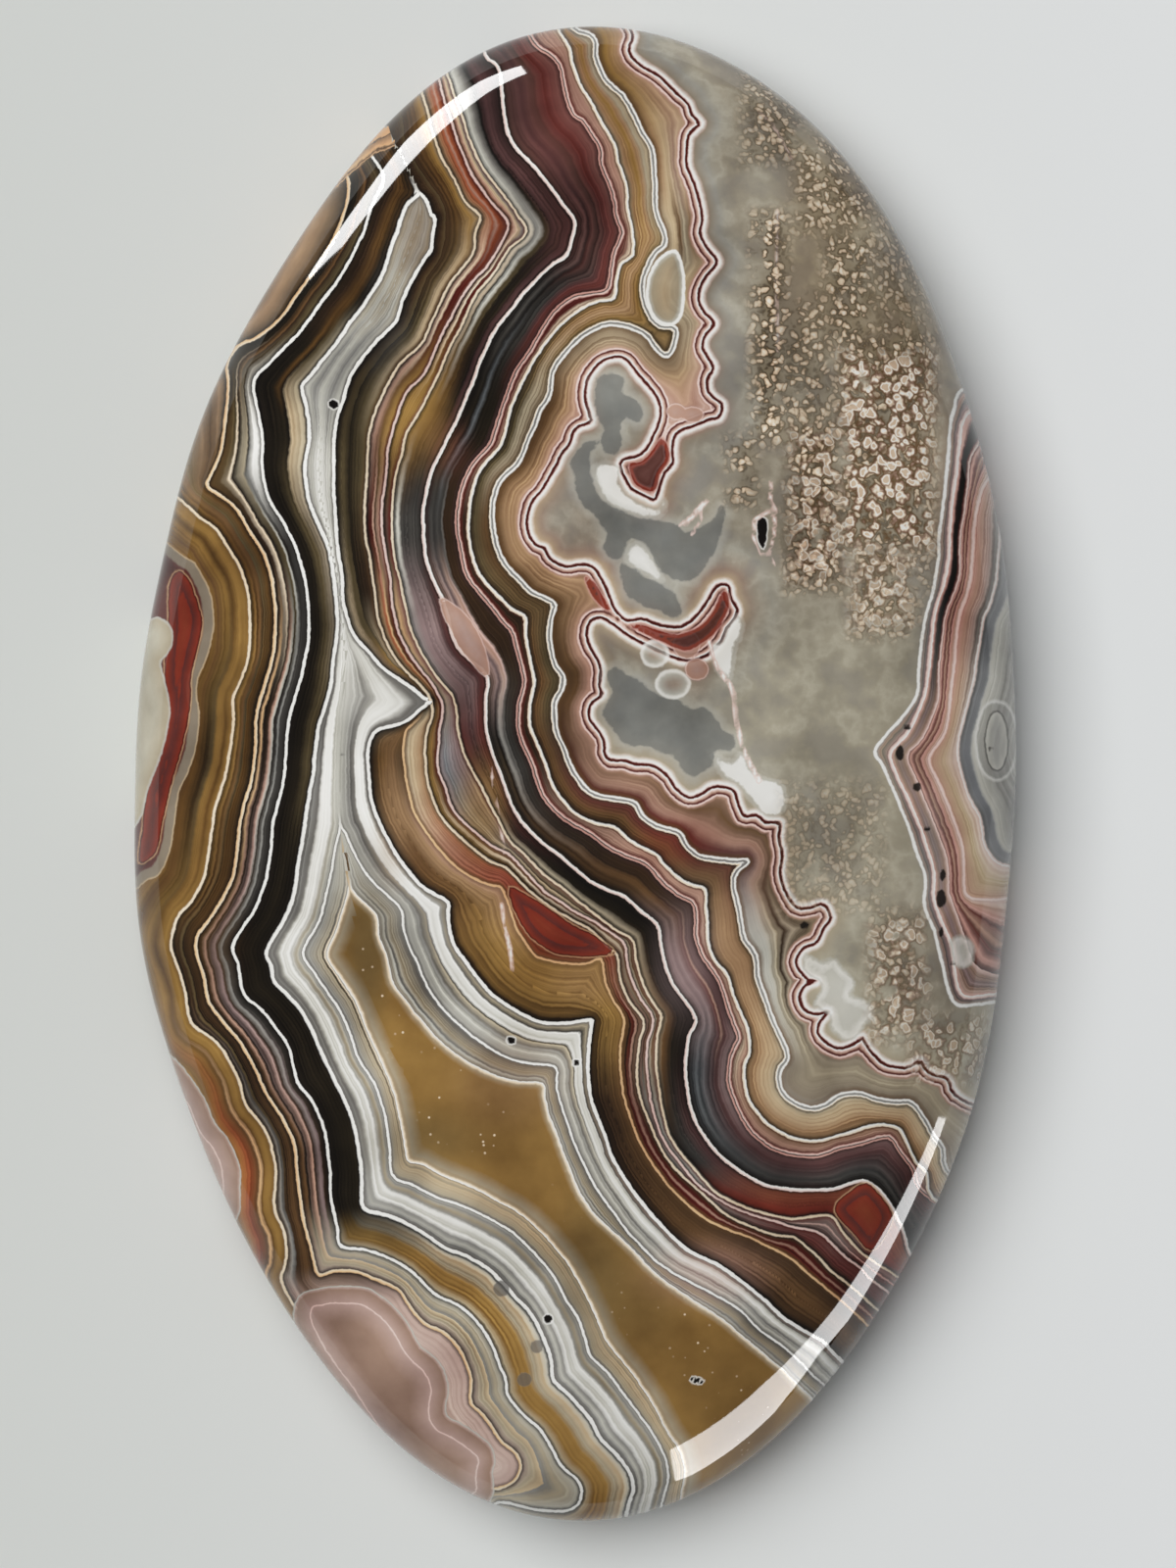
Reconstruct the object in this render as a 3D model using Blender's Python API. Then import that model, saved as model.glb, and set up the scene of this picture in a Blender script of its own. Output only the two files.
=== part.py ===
"""Laguna lace agate cabochon: one polished oval stone with a domed face and a flat back."""
import math

import bmesh
import bpy
import numpy as np
from mathutils import Vector

# Driving dimensions, in metres.
LENGTH = 0.0500          # long axis of the oval, top to bottom
WIDTH = 0.0295           # short axis of the oval
THICKNESS = 0.0070       # flat back to the top of the dome
GIRDLE_HEIGHT = 0.0021   # height of the line where the dome meets the upright wall
WALL_FOOT = 0.0011       # height where the wall starts to round under
BACK_INSET = 0.0010      # distance the flat back stands in from the wall

# Shape of the dome: 2 gives an ellipse, more gives a flatter top and a fuller shoulder.
CROWN_POWER = 2.5

# Fineness of the solid.
AROUND = 96              # facets around the outline
CROWN_RINGS = 24         # rings from the widest line to the top
FOOT_STEPS = 6           # steps in the rounded edge under the wall
CURVE_STEPS = 24         # samples between two outline points
ANGLES = AROUND * 10     # even angles at which the smoothed outline is kept
WAVES = 11               # waves around the stone that shape the outline

# Outline of the stone seen from above, clockwise from the top, in millimetres from its middle.
# The oval is fuller at its lower right than at its lower left.
OUTLINE_MM = (
    (0.4, 25.0), (2.1, 24.9), (3.7, 24.5), (6.3, 23.3), (8.5, 21.3), (10.4, 18.9), (12.0, 15.7),
    (13.3, 12.2), (14.2, 8.5), (14.7, 4.2), (14.8, 0.0), (14.5, -4.4), (13.9, -8.9), (12.8, -12.8),
    (11.6, -15.5), (10.4, -17.6), (8.9, -19.8), (7.3, -21.7), (5.7, -23.1), (4.1, -24.0),
    (2.5, -24.6), (0.1, -25.0), (-2.2, -24.6), (-4.7, -23.4), (-6.9, -21.4), (-8.2, -20.0),
    (-9.7, -17.9), (-10.7, -16.2), (-12.0, -13.5), (-13.2, -10.4), (-14.2, -7.3), (-14.7, -3.6),
    (-14.7, 1.0), (-14.1, 5.9), (-12.8, 11.0), (-10.7, 15.7), (-7.6, 20.2), (-4.8, 23.2),
    (-2.9, 24.4), (-1.4, 24.9),
)

NAME = "agate_cabochon"
STONE_COLOUR = (0.42, 0.33, 0.26, 1.0)
STONE_ROUGHNESS = 0.08


def smooth_outline():
    """Outline points at even angles from +X, smoothed to a few waves and fitted to the size."""
    points = np.array(OUTLINE_MM)
    before = np.roll(points, 1, axis=0)
    after = np.roll(points, -1, axis=0)
    beyond = np.roll(points, -2, axis=0)
    curve = []
    for t in np.arange(CURVE_STEPS) / CURVE_STEPS:
        linear = (after - before) * t
        square = (2 * before - 5 * points + 4 * after - beyond) * t ** 2
        cube = (3 * points - before - 3 * after + beyond) * t ** 3
        curve.append(0.5 * (2 * points + linear + square + cube))
    curve = np.concatenate(curve)
    angles = np.arctan2(curve[:, 1], curve[:, 0]) % (2 * math.pi)
    order = np.argsort(angles)
    even = np.arange(ANGLES) * 2 * math.pi / ANGLES
    radii = np.interp(
        even, angles[order], np.hypot(*curve.T)[order], period=2 * math.pi)
    waves = np.fft.rfft(radii)
    waves[WAVES + 1:] = 0
    radii = np.fft.irfft(waves, ANGLES)
    rim = np.stack((np.cos(even) * radii, np.sin(even) * radii), axis=1)
    low = rim.min(axis=0)
    high = rim.max(axis=0)
    return ((rim - low) / (high - low) - 0.5) * (WIDTH, LENGTH)


def crown_point(edge, polar):
    """Point of the dome for a polar angle that runs from 0 at the top to a quarter turn."""
    reach = math.sin(polar) ** (2 / CROWN_POWER)
    rise = max(math.cos(polar), 0.0) ** (2 / CROWN_POWER)
    height = GIRDLE_HEIGHT + (THICKNESS - GIRDLE_HEIGHT) * rise
    return Vector((edge.x * reach, edge.y * reach, height))


def foot_point(edge, ring):
    """Point below the widest line: the foot of the wall, the rounded edge, then the flat back."""
    turn = min(ring - 1, FOOT_STEPS) / FOOT_STEPS * math.pi / 2
    inset = BACK_INSET * (1 - math.cos(turn))
    height = WALL_FOOT * (1 - math.sin(turn))
    flat_rings = CROWN_RINGS - FOOT_STEPS - 1
    shrink = 1 - max(ring - 1 - FOOT_STEPS, 0) / flat_rings
    inner = edge * ((edge.length - inset) / edge.length) * shrink
    return Vector((inner.x, inner.y, max(height, 0.0)))


def build_stone():
    """Reshape a ball into the cabochon and merge its back into one flat face."""
    rim = smooth_outline()
    mesh_data = bmesh.new()
    bmesh.ops.create_uvsphere(
        mesh_data, u_segments=AROUND, v_segments=2 * CROWN_RINGS, radius=1.0)
    step = math.pi / 2 / CROWN_RINGS
    for vert in mesh_data.verts:
        polar = math.acos(max(-1.0, min(1.0, vert.co.z)))
        turn = math.atan2(vert.co.y, vert.co.x) / (2 * math.pi)
        edge = Vector(rim[round(turn * ANGLES) % ANGLES])
        ring = round(polar / step) - CROWN_RINGS
        if ring <= 0:
            vert.co = crown_point(edge, polar)
        else:
            vert.co = foot_point(edge, ring)
    flat = [
        face for face in mesh_data.faces
        if all(vert.co.z < WALL_FOOT * 1e-4 for vert in face.verts)
    ]
    bmesh.ops.dissolve_faces(mesh_data, faces=flat, use_verts=True)
    bmesh.ops.recalc_face_normals(mesh_data, faces=mesh_data.faces)
    for face in mesh_data.faces:
        face.smooth = True
    mesh = bpy.data.meshes.new(NAME)
    mesh_data.to_mesh(mesh)
    mesh_data.free()
    return bpy.data.objects.new(NAME, mesh)


def polished_agate():
    """Plain polished stone; the banding is colour only and has no relief."""
    material = bpy.data.materials.new("polished_agate")
    material.use_nodes = True
    shader = material.node_tree.nodes["Principled BSDF"]
    shader.inputs["Base Color"].default_value = STONE_COLOUR
    shader.inputs["Roughness"].default_value = STONE_ROUGHNESS
    shader.inputs["Metallic"].default_value = 0.0
    return material


for old in list(bpy.data.objects):
    bpy.data.objects.remove(old)

collection = bpy.data.collections.new("laguna_lace_agate_cabochon")
bpy.context.scene.collection.children.link(collection)
stone = build_stone()
stone.data.materials.append(polished_agate())
collection.objects.link(stone)
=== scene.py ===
import math
import bpy
import numpy as np
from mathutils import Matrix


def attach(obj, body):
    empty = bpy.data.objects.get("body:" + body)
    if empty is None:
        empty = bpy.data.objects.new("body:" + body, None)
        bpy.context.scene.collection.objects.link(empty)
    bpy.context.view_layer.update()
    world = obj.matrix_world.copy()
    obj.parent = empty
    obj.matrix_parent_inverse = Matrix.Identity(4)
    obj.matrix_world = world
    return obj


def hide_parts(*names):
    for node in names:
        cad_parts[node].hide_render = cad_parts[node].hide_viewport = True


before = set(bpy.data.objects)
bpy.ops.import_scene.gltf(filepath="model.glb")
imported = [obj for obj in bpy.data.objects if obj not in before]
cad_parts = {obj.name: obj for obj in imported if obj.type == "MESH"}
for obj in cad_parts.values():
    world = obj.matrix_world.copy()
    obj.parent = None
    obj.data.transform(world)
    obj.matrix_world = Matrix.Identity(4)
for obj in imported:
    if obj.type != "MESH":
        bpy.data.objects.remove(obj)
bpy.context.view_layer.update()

# Real sizes of the stone in metres, and how finely it is meshed.
stone = {
    "width": 0.0295,
    "length": 0.0500,
    "thickness": 0.0070,
    "girdleHeight": 0.0021,
    "wallFoot": 0.0011,
    "backInset": 0.0010,
    "crownPower": 2.5,
    "waves": 11,            # waves around the outline that its smoothing keeps
    "fit": 0.9990,          # the finished stone stays this close inside the solid
    "cellsAcross": 190,
    "cellsAlong": 310,
    "gridReach": 0.97,
    "crownRings": 8,
    "footRings": 6,
    "backGrid": 0.985,
    "groundTop": 0.0004,    # the ground finish ends at this height
    "groundFade": 0.0003,   # and grows to full over this much below it
}
# How the photograph sees the stone: straight down, in its own pixels.
view = {
    "pixelsPerMm": 30.5,
    "centreX": 587.0,
    "centreY": 789.5,
    "imageWidth": 1200,
    "imageHeight": 1600,
    "distance": 0.200,
    "sensor": 36.0,
}
# The outline in millimetres from the middle, clockwise from the top.
outlineMm = [
    (0.4, 25.0), (2.1, 24.9), (3.7, 24.5), (6.3, 23.3), (8.5, 21.3), (10.4, 18.9), (12.0, 15.7),
    (13.3, 12.2), (14.2, 8.5), (14.7, 4.2), (14.8, 0.0), (14.5, -4.4), (13.9, -8.9), (12.8, -12.8),
    (11.6, -15.5), (10.4, -17.6), (8.9, -19.8), (7.3, -21.7), (5.7, -23.1), (4.1, -24.0),
    (2.5, -24.6), (0.1, -25.0), (-2.2, -24.6), (-4.7, -23.4), (-6.9, -21.4), (-8.2, -20.0),
    (-9.7, -17.9), (-10.7, -16.2), (-12.0, -13.5), (-13.2, -10.4), (-14.2, -7.3), (-14.7, -3.6),
    (-14.7, 1.0), (-14.1, 5.9), (-12.8, 11.0), (-10.7, 15.7), (-7.6, 20.2), (-4.8, 23.2),
    (-2.9, 24.4), (-1.4, 24.9),
]

# Where each line of the banding runs on the polished face, read along the photograph, in its
# pixels. Every line starts and ends outside the stone.
spineTop = [360, 80, 385, 115, 395, 130, 405, 150, 415, 170, 425, 193]
spineMiddle = [
    430, 215, 420, 245, 405, 285, 385, 320, 360, 350, 330, 395, 328, 430, 326, 470, 328, 510,
    335, 545, 341, 575, 346, 600, 348, 625, 350, 650, 353, 675, 350, 700, 347, 740, 345, 800,
]
cornerTop = [347, 840]
traced = {
    "a3": [
        140, 480, 170, 500, 190, 515, 204, 528, 220, 540, 234, 562, 247, 584, 253, 606, 255, 628,
        255, 650, 252, 674, 244, 699, 238, 713, 238, 738, 234, 767, 232, 784, 224, 811, 219, 825,
        217, 840, 216, 848, 212, 875, 206, 902, 192, 923, 182, 935, 174, 962, 182, 987, 189, 1014,
        195, 1044, 219, 1062, 234, 1083, 243, 1101, 251, 1128, 265, 1146, 277, 1170, 281, 1197,
        280, 1234, 289, 1255, 292, 1276, 290, 1294, 287, 1307, 306, 1341, 333, 1375, 354, 1406,
        386, 1443, 410, 1470, 420, 1490, 425, 1530,
    ],
    "a2": [
        340, 150, 355, 185, 352, 215, 340, 245, 322, 275, 310, 290, 300, 305, 290, 320, 275, 335,
        260, 345, 248, 350, 240, 356, 232, 370, 233, 395, 230, 430, 225, 460, 215, 485, 211, 496,
        225, 506, 242, 521, 256, 543, 269, 565, 276, 587, 280, 611, 281, 631, 280, 650, 277, 674,
        271, 696, 264, 718, 261, 735, 261, 752, 259, 777, 255, 801, 249, 821, 245, 840, 243, 854,
        240, 878, 236, 899, 224, 923, 210, 943, 201, 956, 201, 975, 209, 999, 213, 1023, 231, 1047,
        246, 1065, 259, 1089, 274, 1119, 289, 1143, 301, 1170, 304, 1203, 307, 1231, 313, 1258,
        318, 1276, 324, 1300, 333, 1300, 345, 1297, 367, 1299, 386, 1307, 406, 1316, 415, 1329,
        432, 1350, 452, 1360, 467, 1375, 476, 1392, 481, 1409, 479, 1431, 491, 1443, 503, 1458,
        513, 1472, 525, 1482, 531, 1494, 527, 1508, 515, 1517, 498, 1519, 479, 1514, 455, 1515,
        440, 1540,
    ],
    "a1": [
        350, 125, 375, 155, 383, 165, 392, 182, 384, 200, 376, 221, 372, 235, 362, 255, 352, 275,
        343, 290, 330, 305, 318, 323, 305, 340, 290, 355, 275, 370, 262, 382, 258, 395, 262, 415,
        266, 435, 268, 455, 267, 475, 273, 506, 288, 531, 301, 557, 309, 582, 313, 606, 315, 631,
        314, 655, 309, 684, 301, 711, 295, 733, 293, 752, 291, 777, 288, 801, 282, 825, 278, 840,
        277, 860, 272, 896, 262, 923, 249, 944, 237, 967, 243, 984, 248, 1014, 265, 1029, 280, 1047,
        295, 1071, 304, 1104, 319, 1125, 331, 1155, 336, 1185, 338, 1222, 344, 1252, 348, 1272,
        371, 1275, 398, 1285, 421, 1298, 442, 1319, 469, 1332, 486, 1348, 501, 1370, 510, 1392,
        516, 1409, 518, 1424, 532, 1441, 552, 1460, 564, 1480, 574, 1497, 588, 1509, 593, 1523,
        588, 1536, 574, 1542, 544, 1540, 508, 1533, 490, 1560,
    ],
    "sl": spineTop + [
        429, 197, 416, 207, 410, 221, 405, 237, 399, 253, 392, 276, 376, 304, 357, 330, 341, 353,
        312, 389, 309, 397, 312, 413, 316, 449, 312, 471, 311, 482, 314, 506, 320, 523, 329, 545,
        337, 565, 340, 587, 343, 611, 344, 635, 343, 655, 340, 674, 338, 696, 332, 721, 325, 740,
        322, 765, 320, 789, 316, 808, 311, 840, 309, 854, 304, 884, 298, 920, 284, 950, 272, 971,
        277, 987, 280, 1001, 298, 1020, 313, 1041, 328, 1074, 337, 1095, 350, 1119, 361, 1149,
        367, 1179, 369, 1209, 371, 1233, 396, 1240, 420, 1251, 440, 1263, 454, 1273, 474, 1281,
        496, 1293, 510, 1305, 527, 1324, 542, 1341, 554, 1363, 562, 1387, 565, 1409, 581, 1424,
        602, 1448, 614, 1469, 631, 1487, 642, 1502, 646, 1519, 642, 1534, 634, 1575,
    ],
    "pl": spineTop + spineMiddle + cornerTop + [
        343, 860, 338, 890, 332, 917, 325, 941, 311, 965, 310, 978, 325, 999, 343, 1026, 358, 1056,
        365, 1080, 382, 1107, 393, 1140, 397, 1173, 400, 1200, 420, 1209, 440, 1220, 452, 1225,
        471, 1230, 501, 1245, 523, 1258, 542, 1275, 562, 1299, 576, 1324, 591, 1348, 598, 1370,
        602, 1384, 622, 1404, 643, 1431, 664, 1460, 679, 1487, 681, 1502, 679, 1519, 664, 1570,
    ],
    "ql": spineTop + spineMiddle + cornerTop + [
        352, 870, 356, 904, 350, 929, 341, 956, 334, 976, 349, 999, 364, 1023, 376, 1053, 388, 1080,
        400, 1108, 408, 1140, 413, 1165, 416, 1184, 430, 1188, 448, 1198, 468, 1205, 486, 1213,
        502, 1222, 532, 1239, 554, 1259, 576, 1285, 591, 1309, 603, 1333, 615, 1360, 620, 1370,
        643, 1398, 664, 1428, 681, 1460, 693, 1478, 698, 1493, 698, 1510, 688, 1560,
    ],
    "mid": spineTop + spineMiddle + cornerTop + [
        352, 870, 357, 904, 364, 950, 372, 1000, 392, 1050, 420, 1110, 450, 1150, 500, 1160,
        530, 1190, 570, 1240, 620, 1310, 680, 1380, 740, 1440, 775, 1490, 800, 1560,
    ],
    "qr": spineTop + spineMiddle + cornerTop + [
        352, 870, 357, 904, 367, 917, 384, 935, 386, 955, 395, 979, 400, 1002, 412, 1020, 430, 1042,
        450, 1064, 470, 1080, 490, 1092, 510, 1100, 530, 1104, 553, 1106, 555, 1120, 560, 1138,
        568, 1158, 576, 1182, 586, 1206, 596, 1224, 607, 1240, 622, 1254, 652, 1283, 681, 1310,
        717, 1333, 746, 1354, 770, 1375, 791, 1392, 807, 1406, 860, 1460,
    ],
    "pr": spineTop + spineMiddle + cornerTop + [
        354, 852, 358, 863, 370, 887, 386, 905, 409, 928, 412, 947, 418, 968, 424, 980, 432, 1000,
        444, 1020, 460, 1038, 480, 1056, 500, 1070, 520, 1080, 540, 1085, 567, 1089, 567, 1108,
        572, 1128, 580, 1150, 588, 1172, 600, 1198, 610, 1216, 628, 1240, 641, 1258, 668, 1285,
        695, 1304, 728, 1320, 755, 1337, 776, 1358, 803, 1377, 826, 1400, 880, 1450,
    ],
    "sr": spineTop + [
        429, 197, 436, 205, 440, 218, 445, 224, 441, 244, 440, 256, 432, 266, 420, 288, 410, 308,
        404, 328, 386, 346, 370, 365, 357, 385, 351, 407, 344, 426, 341, 449, 341, 481, 342, 518,
        343, 542, 346, 565, 349, 588, 350, 611, 354, 629, 362, 648, 375, 663, 388, 678, 402, 689,
        421, 702, 432, 711, 440, 716, 423, 729, 414, 736, 400, 741, 386, 745, 379, 753, 375, 769,
        376, 785, 378, 802, 380, 818, 386, 836, 395, 855, 407, 875, 421, 894, 437, 908, 457, 920,
        457, 933, 460, 952, 466, 968, 478, 984, 486, 996, 500, 1012, 520, 1027, 540, 1038, 552, 1043,
        570, 1044, 586, 1043, 604, 1040, 604, 1047, 601, 1064, 600, 1080, 601, 1100, 603, 1118,
        611, 1142, 617, 1158, 624, 1178, 634, 1196, 652, 1224, 676, 1251, 702, 1275, 729, 1289,
        752, 1304, 776, 1322, 796, 1342, 820, 1357, 841, 1369, 852, 1382, 900, 1430,
    ],
    "c0": [
        395, 60, 410, 115, 415, 150, 430, 175, 448, 200, 455, 225, 450, 260, 435, 285, 425, 310,
        415, 335, 395, 355, 380, 375, 368, 395, 360, 420, 357, 450, 357, 520, 358, 550, 362, 580,
        366, 605, 372, 630, 385, 655, 400, 675, 417, 690, 433, 706, 441, 716, 430, 730, 416, 743,
        413, 751, 412, 767, 413, 781, 414, 797, 418, 813, 423, 829, 435, 848, 446, 864, 462, 882,
        478, 894, 499, 903, 511, 906, 520, 925, 525, 945, 535, 960, 545, 975, 560, 980, 580, 984,
        600, 983, 613, 978, 617, 998, 626, 1022, 637, 1040, 633, 1067, 634, 1102, 641, 1135,
        655, 1170, 676, 1202, 701, 1229, 728, 1248, 755, 1260, 785, 1272, 805, 1283, 823, 1298,
        841, 1313, 854, 1323, 900, 1365,
    ],
    "b0": [
        420, 60, 435, 110, 440, 130, 445, 145, 452, 164, 464, 183, 474, 205, 485, 215, 491, 223,
        485, 237, 484, 254, 478, 266, 463, 285, 450, 307, 440, 329, 432, 349, 419, 361, 407, 373,
        399, 387, 390, 405, 382, 424, 377, 442, 376, 461, 375, 482, 373, 502, 372, 524, 373, 544,
        376, 562, 379, 581, 382, 602, 384, 618, 388, 638, 395, 657, 407, 675, 418, 689, 432, 703,
        438, 711, 442, 728, 436, 744, 434, 760, 434, 776, 436, 797, 442, 815, 451, 834, 465, 850,
        481, 864, 499, 878, 515, 885, 525, 894, 536, 905, 550, 916, 562, 925, 575, 933, 589, 942,
        605, 950, 619, 965, 629, 974, 631, 984, 634, 1002, 644, 1024, 657, 1042, 653, 1060,
        651, 1080, 650, 1100, 656, 1128, 674, 1170, 690, 1194, 714, 1215, 738, 1237, 765, 1252,
        792, 1260, 811, 1263, 827, 1276, 849, 1297, 865, 1310, 905, 1345,
    ],
    "b2": [
        440, 55, 455, 108, 462, 127, 467, 142, 472, 156, 479, 173, 489, 190, 502, 207, 513, 220,
        519, 229, 514, 242, 507, 256, 497, 271, 484, 285, 471, 305, 460, 324, 450, 344, 443, 361,
        430, 385, 415, 400, 405, 425, 397, 452, 395, 472, 393, 491, 390, 509, 389, 530, 391, 551,
        394, 572, 398, 590, 400, 611, 402, 625, 407, 645, 416, 664, 428, 682, 439, 696, 448, 711,
        452, 725, 448, 746, 448, 760, 446, 772, 448, 788, 455, 804, 460, 822, 472, 838, 488, 852,
        502, 864, 518, 871, 532, 885, 543, 896, 557, 910, 571, 919, 589, 932, 610, 942, 624, 952,
        637, 963, 640, 982, 646, 1003, 656, 1022, 667, 1040, 661, 1063, 660, 1090, 664, 1121,
        672, 1151, 687, 1178, 709, 1205, 733, 1223, 760, 1237, 790, 1246, 808, 1252, 833, 1256,
        846, 1266, 862, 1282, 878, 1294, 889, 1306, 920, 1330,
    ],
    "b3": [
        445, 45, 465, 100, 473, 122, 480, 143, 486, 159, 495, 176, 507, 190, 519, 206, 529, 222,
        537, 233, 533, 243, 522, 251, 512, 266, 502, 281, 490, 295, 480, 312, 471, 332, 461, 351,
        452, 371, 446, 385, 438, 400, 425, 425, 413, 445, 410, 465, 405, 479, 402, 495, 400, 509,
        400, 528, 400, 551, 403, 574, 409, 595, 412, 611, 415, 625, 420, 645, 430, 666, 442, 685,
        453, 701, 461, 709, 466, 725, 466, 740, 470, 760, 478, 780, 490, 800, 500, 820, 510, 840,
        520, 858, 535, 872, 552, 889, 575, 907, 600, 928, 615, 938, 629, 949, 646, 960, 649, 983,
        658, 1008, 669, 1026, 676, 1038, 671, 1056, 670, 1091, 674, 1121, 681, 1151, 693, 1175,
        714, 1199, 733, 1218, 760, 1232, 787, 1240, 808, 1244, 830, 1241, 849, 1241, 860, 1258,
        878, 1277, 889, 1285, 925, 1310,
    ],
    "b4": [
        470, 10, 490, 45, 498, 60, 505, 64, 510, 74, 512, 93, 514, 117, 519, 137, 529, 153, 544, 169,
        558, 186, 568, 200, 579, 215, 587, 227, 584, 244, 578, 261, 566, 268, 551, 281, 536, 298,
        522, 315, 507, 334, 497, 354, 488, 373, 483, 387, 476, 405, 469, 424, 462, 438, 455, 452,
        446, 468, 439, 484, 435, 502, 432, 523, 432, 542, 433, 560, 437, 578, 444, 597, 452, 613,
        457, 629, 460, 645, 469, 662, 481, 675, 493, 684, 498, 696, 496, 710, 495, 728, 497, 748,
        502, 767, 510, 788, 517, 808, 525, 827, 536, 843, 552, 859, 571, 873, 587, 887, 605, 901,
        624, 910, 637, 915, 653, 929, 671, 944, 674, 964, 681, 992, 692, 1012, 710, 1040, 703, 1056,
        700, 1079, 700, 1102, 703, 1124, 711, 1148, 728, 1172, 749, 1191, 773, 1206, 798, 1213,
        825, 1215, 852, 1213, 870, 1207, 881, 1205, 892, 1210, 908, 1229, 919, 1250, 923, 1264,
        930, 1280, 955, 1300,
    ],
    "m": [
        525, 10, 546, 43, 561, 54, 572, 66, 575, 83, 580, 103, 587, 117, 595, 122, 605, 137, 613, 151,
        615, 169, 623, 188, 628, 205, 630, 222, 635, 237, 631, 249, 626, 263, 623, 283, 619, 297,
        600, 301, 585, 304, 570, 315, 556, 334, 544, 354, 531, 373, 525, 386, 518, 403, 512, 422,
        506, 438, 499, 456, 488, 468, 480, 479, 473, 495, 469, 514, 467, 532, 469, 551, 473, 569,
        478, 588, 488, 602, 502, 618, 513, 632, 524, 645, 528, 664, 534, 685, 536, 699, 530, 718,
        530, 742, 536, 762, 545, 783, 550, 799, 559, 818, 578, 836, 603, 850, 622, 864, 640, 873,
        660, 881, 676, 899, 692, 912, 707, 920, 711, 934, 711, 955, 718, 975, 733, 998, 741, 1019,
        748, 1042, 755, 1059, 747, 1074, 744, 1100, 751, 1124, 765, 1151, 787, 1170, 814, 1178,
        835, 1178, 857, 1171, 878, 1166, 895, 1161, 909, 1160, 919, 1175, 932, 1192, 940, 1213,
        975, 1240,
    ],
    "b5": [
        555, 5, 575, 40, 581, 52, 585, 69, 592, 88, 605, 108, 614, 125, 626, 147, 630, 166, 639, 190,
        640, 212, 643, 229, 646, 259, 634, 268, 628, 285, 626, 304, 612, 307, 595, 313, 580, 324,
        566, 339, 553, 354, 544, 368, 536, 383, 529, 398, 521, 417, 517, 433, 511, 452, 499, 468,
        490, 479, 484, 493, 480, 509, 478, 528, 478, 546, 481, 565, 487, 583, 497, 597, 510, 611,
        522, 622, 536, 630, 536, 645, 538, 664, 543, 685, 545, 699, 540, 721, 541, 742, 547, 758,
        555, 776, 562, 797, 571, 813, 589, 832, 610, 841, 628, 845, 646, 860, 669, 872, 676, 881,
        690, 895, 704, 903, 719, 908, 720, 925, 722, 941, 722, 959, 729, 980, 742, 996, 748, 1015,
        755, 1033, 764, 1056, 764, 1075, 759, 1086, 759, 1102, 765, 1124, 779, 1143, 798, 1157,
        819, 1164, 841, 1163, 868, 1156, 895, 1148, 915, 1151, 924, 1164, 934, 1186, 946, 1198,
        950, 1221, 985, 1245,
    ],
    "w2": [
        560, -10, 585, 28, 600, 35, 607, 43, 608, 60, 618, 82, 635, 97, 646, 116, 655, 136, 664, 152,
        667, 176, 668, 200, 670, 220, 677, 236, 678, 250, 669, 257, 661, 271, 655, 288, 656, 305,
        662, 320, 673, 333, 689, 335, 688, 348, 684, 359, 679, 362, 670, 354, 661, 342, 646, 334, 629, 330,
        612, 332, 595, 341, 580, 356, 568, 371, 563, 382, 561, 394, 559, 405, 551, 417, 545, 433,
        537, 452, 528, 472, 512, 488, 505, 502, 502, 518, 503, 542, 507, 560, 515, 576, 527, 590,
        541, 604, 555, 610, 566, 617, 562, 629, 560, 645, 562, 664, 567, 680, 574, 690, 573, 703,
        566, 715, 565, 731, 567, 748, 575, 765, 581, 781, 592, 799, 605, 811, 623, 815, 646, 819,
        655, 832, 671, 844, 692, 850, 699, 862, 713, 874, 731, 877, 750, 880, 762, 879, 750, 890,
        748, 906, 753, 927, 756, 943, 759, 959, 770, 975, 772, 996, 779, 1015, 787, 1040, 796, 1058,
        803, 1079, 795, 1089, 794, 1105, 800, 1118, 814, 1128, 830, 1132, 846, 1126, 857, 1118,
        878, 1116, 895, 1122, 916, 1125, 930, 1126, 943, 1143, 952, 1159, 962, 1172, 965, 1194,
        995, 1215,
    ],
    "lace": [
        620, -10, 643, 28, 645, 39, 642, 47, 643, 56, 653, 66, 668, 75, 678, 83, 690, 95, 702, 105,
        706, 117, 714, 126, 708, 132, 702, 139, 701, 156, 702, 171, 708, 186, 713, 203, 717, 222,
        714, 237, 720, 252, 732, 267, 722, 282, 713, 300, 717, 316, 729, 330, 720, 342, 717, 354,
        722, 365, 728, 376, 722, 386, 723, 400, 733, 409, 738, 414, 734, 426, 722, 429, 708, 435,
        696, 439, 688, 446, 686, 458, 687, 472, 678, 483, 673, 497, 668, 510, 659, 507, 645, 500,
        639, 490, 633, 476, 636, 469, 650, 466, 659, 459, 665, 448, 671, 432, 674, 421, 671, 407,
        661, 393, 650, 381, 644, 372, 636, 365, 625, 364, 612, 370, 601, 384, 597, 398, 597, 409,
        601, 421, 604, 431, 592, 435, 585, 441, 581, 453, 574, 462, 569, 474, 562, 485, 553, 500,
        545, 508, 540, 517, 538, 530, 540, 545, 547, 556, 556, 560, 562, 570, 578, 578, 592, 576,
        604, 578, 612, 588, 618, 600, 623, 612, 629, 624, 641, 633, 655, 631, 672, 637, 690, 640,
        700, 637, 712, 628, 722, 613, 731, 598, 743, 597, 746, 610, 752, 622, 750, 630, 742, 642,
        735, 656, 722, 668, 706, 674, 690, 672, 672, 664, 655, 656, 640, 648, 626, 638, 614, 631, 604, 633,
        599, 642, 600, 655, 609, 672, 613, 684, 612, 700, 615, 709, 605, 716, 601, 725, 603, 737,
        612, 748, 617, 760, 616, 768, 623, 776, 638, 776, 648, 780, 665, 781, 681, 791, 690, 805,
        704, 814, 718, 809, 729, 802, 748, 806, 753, 818, 759, 832, 772, 832, 782, 839, 796, 840,
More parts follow.
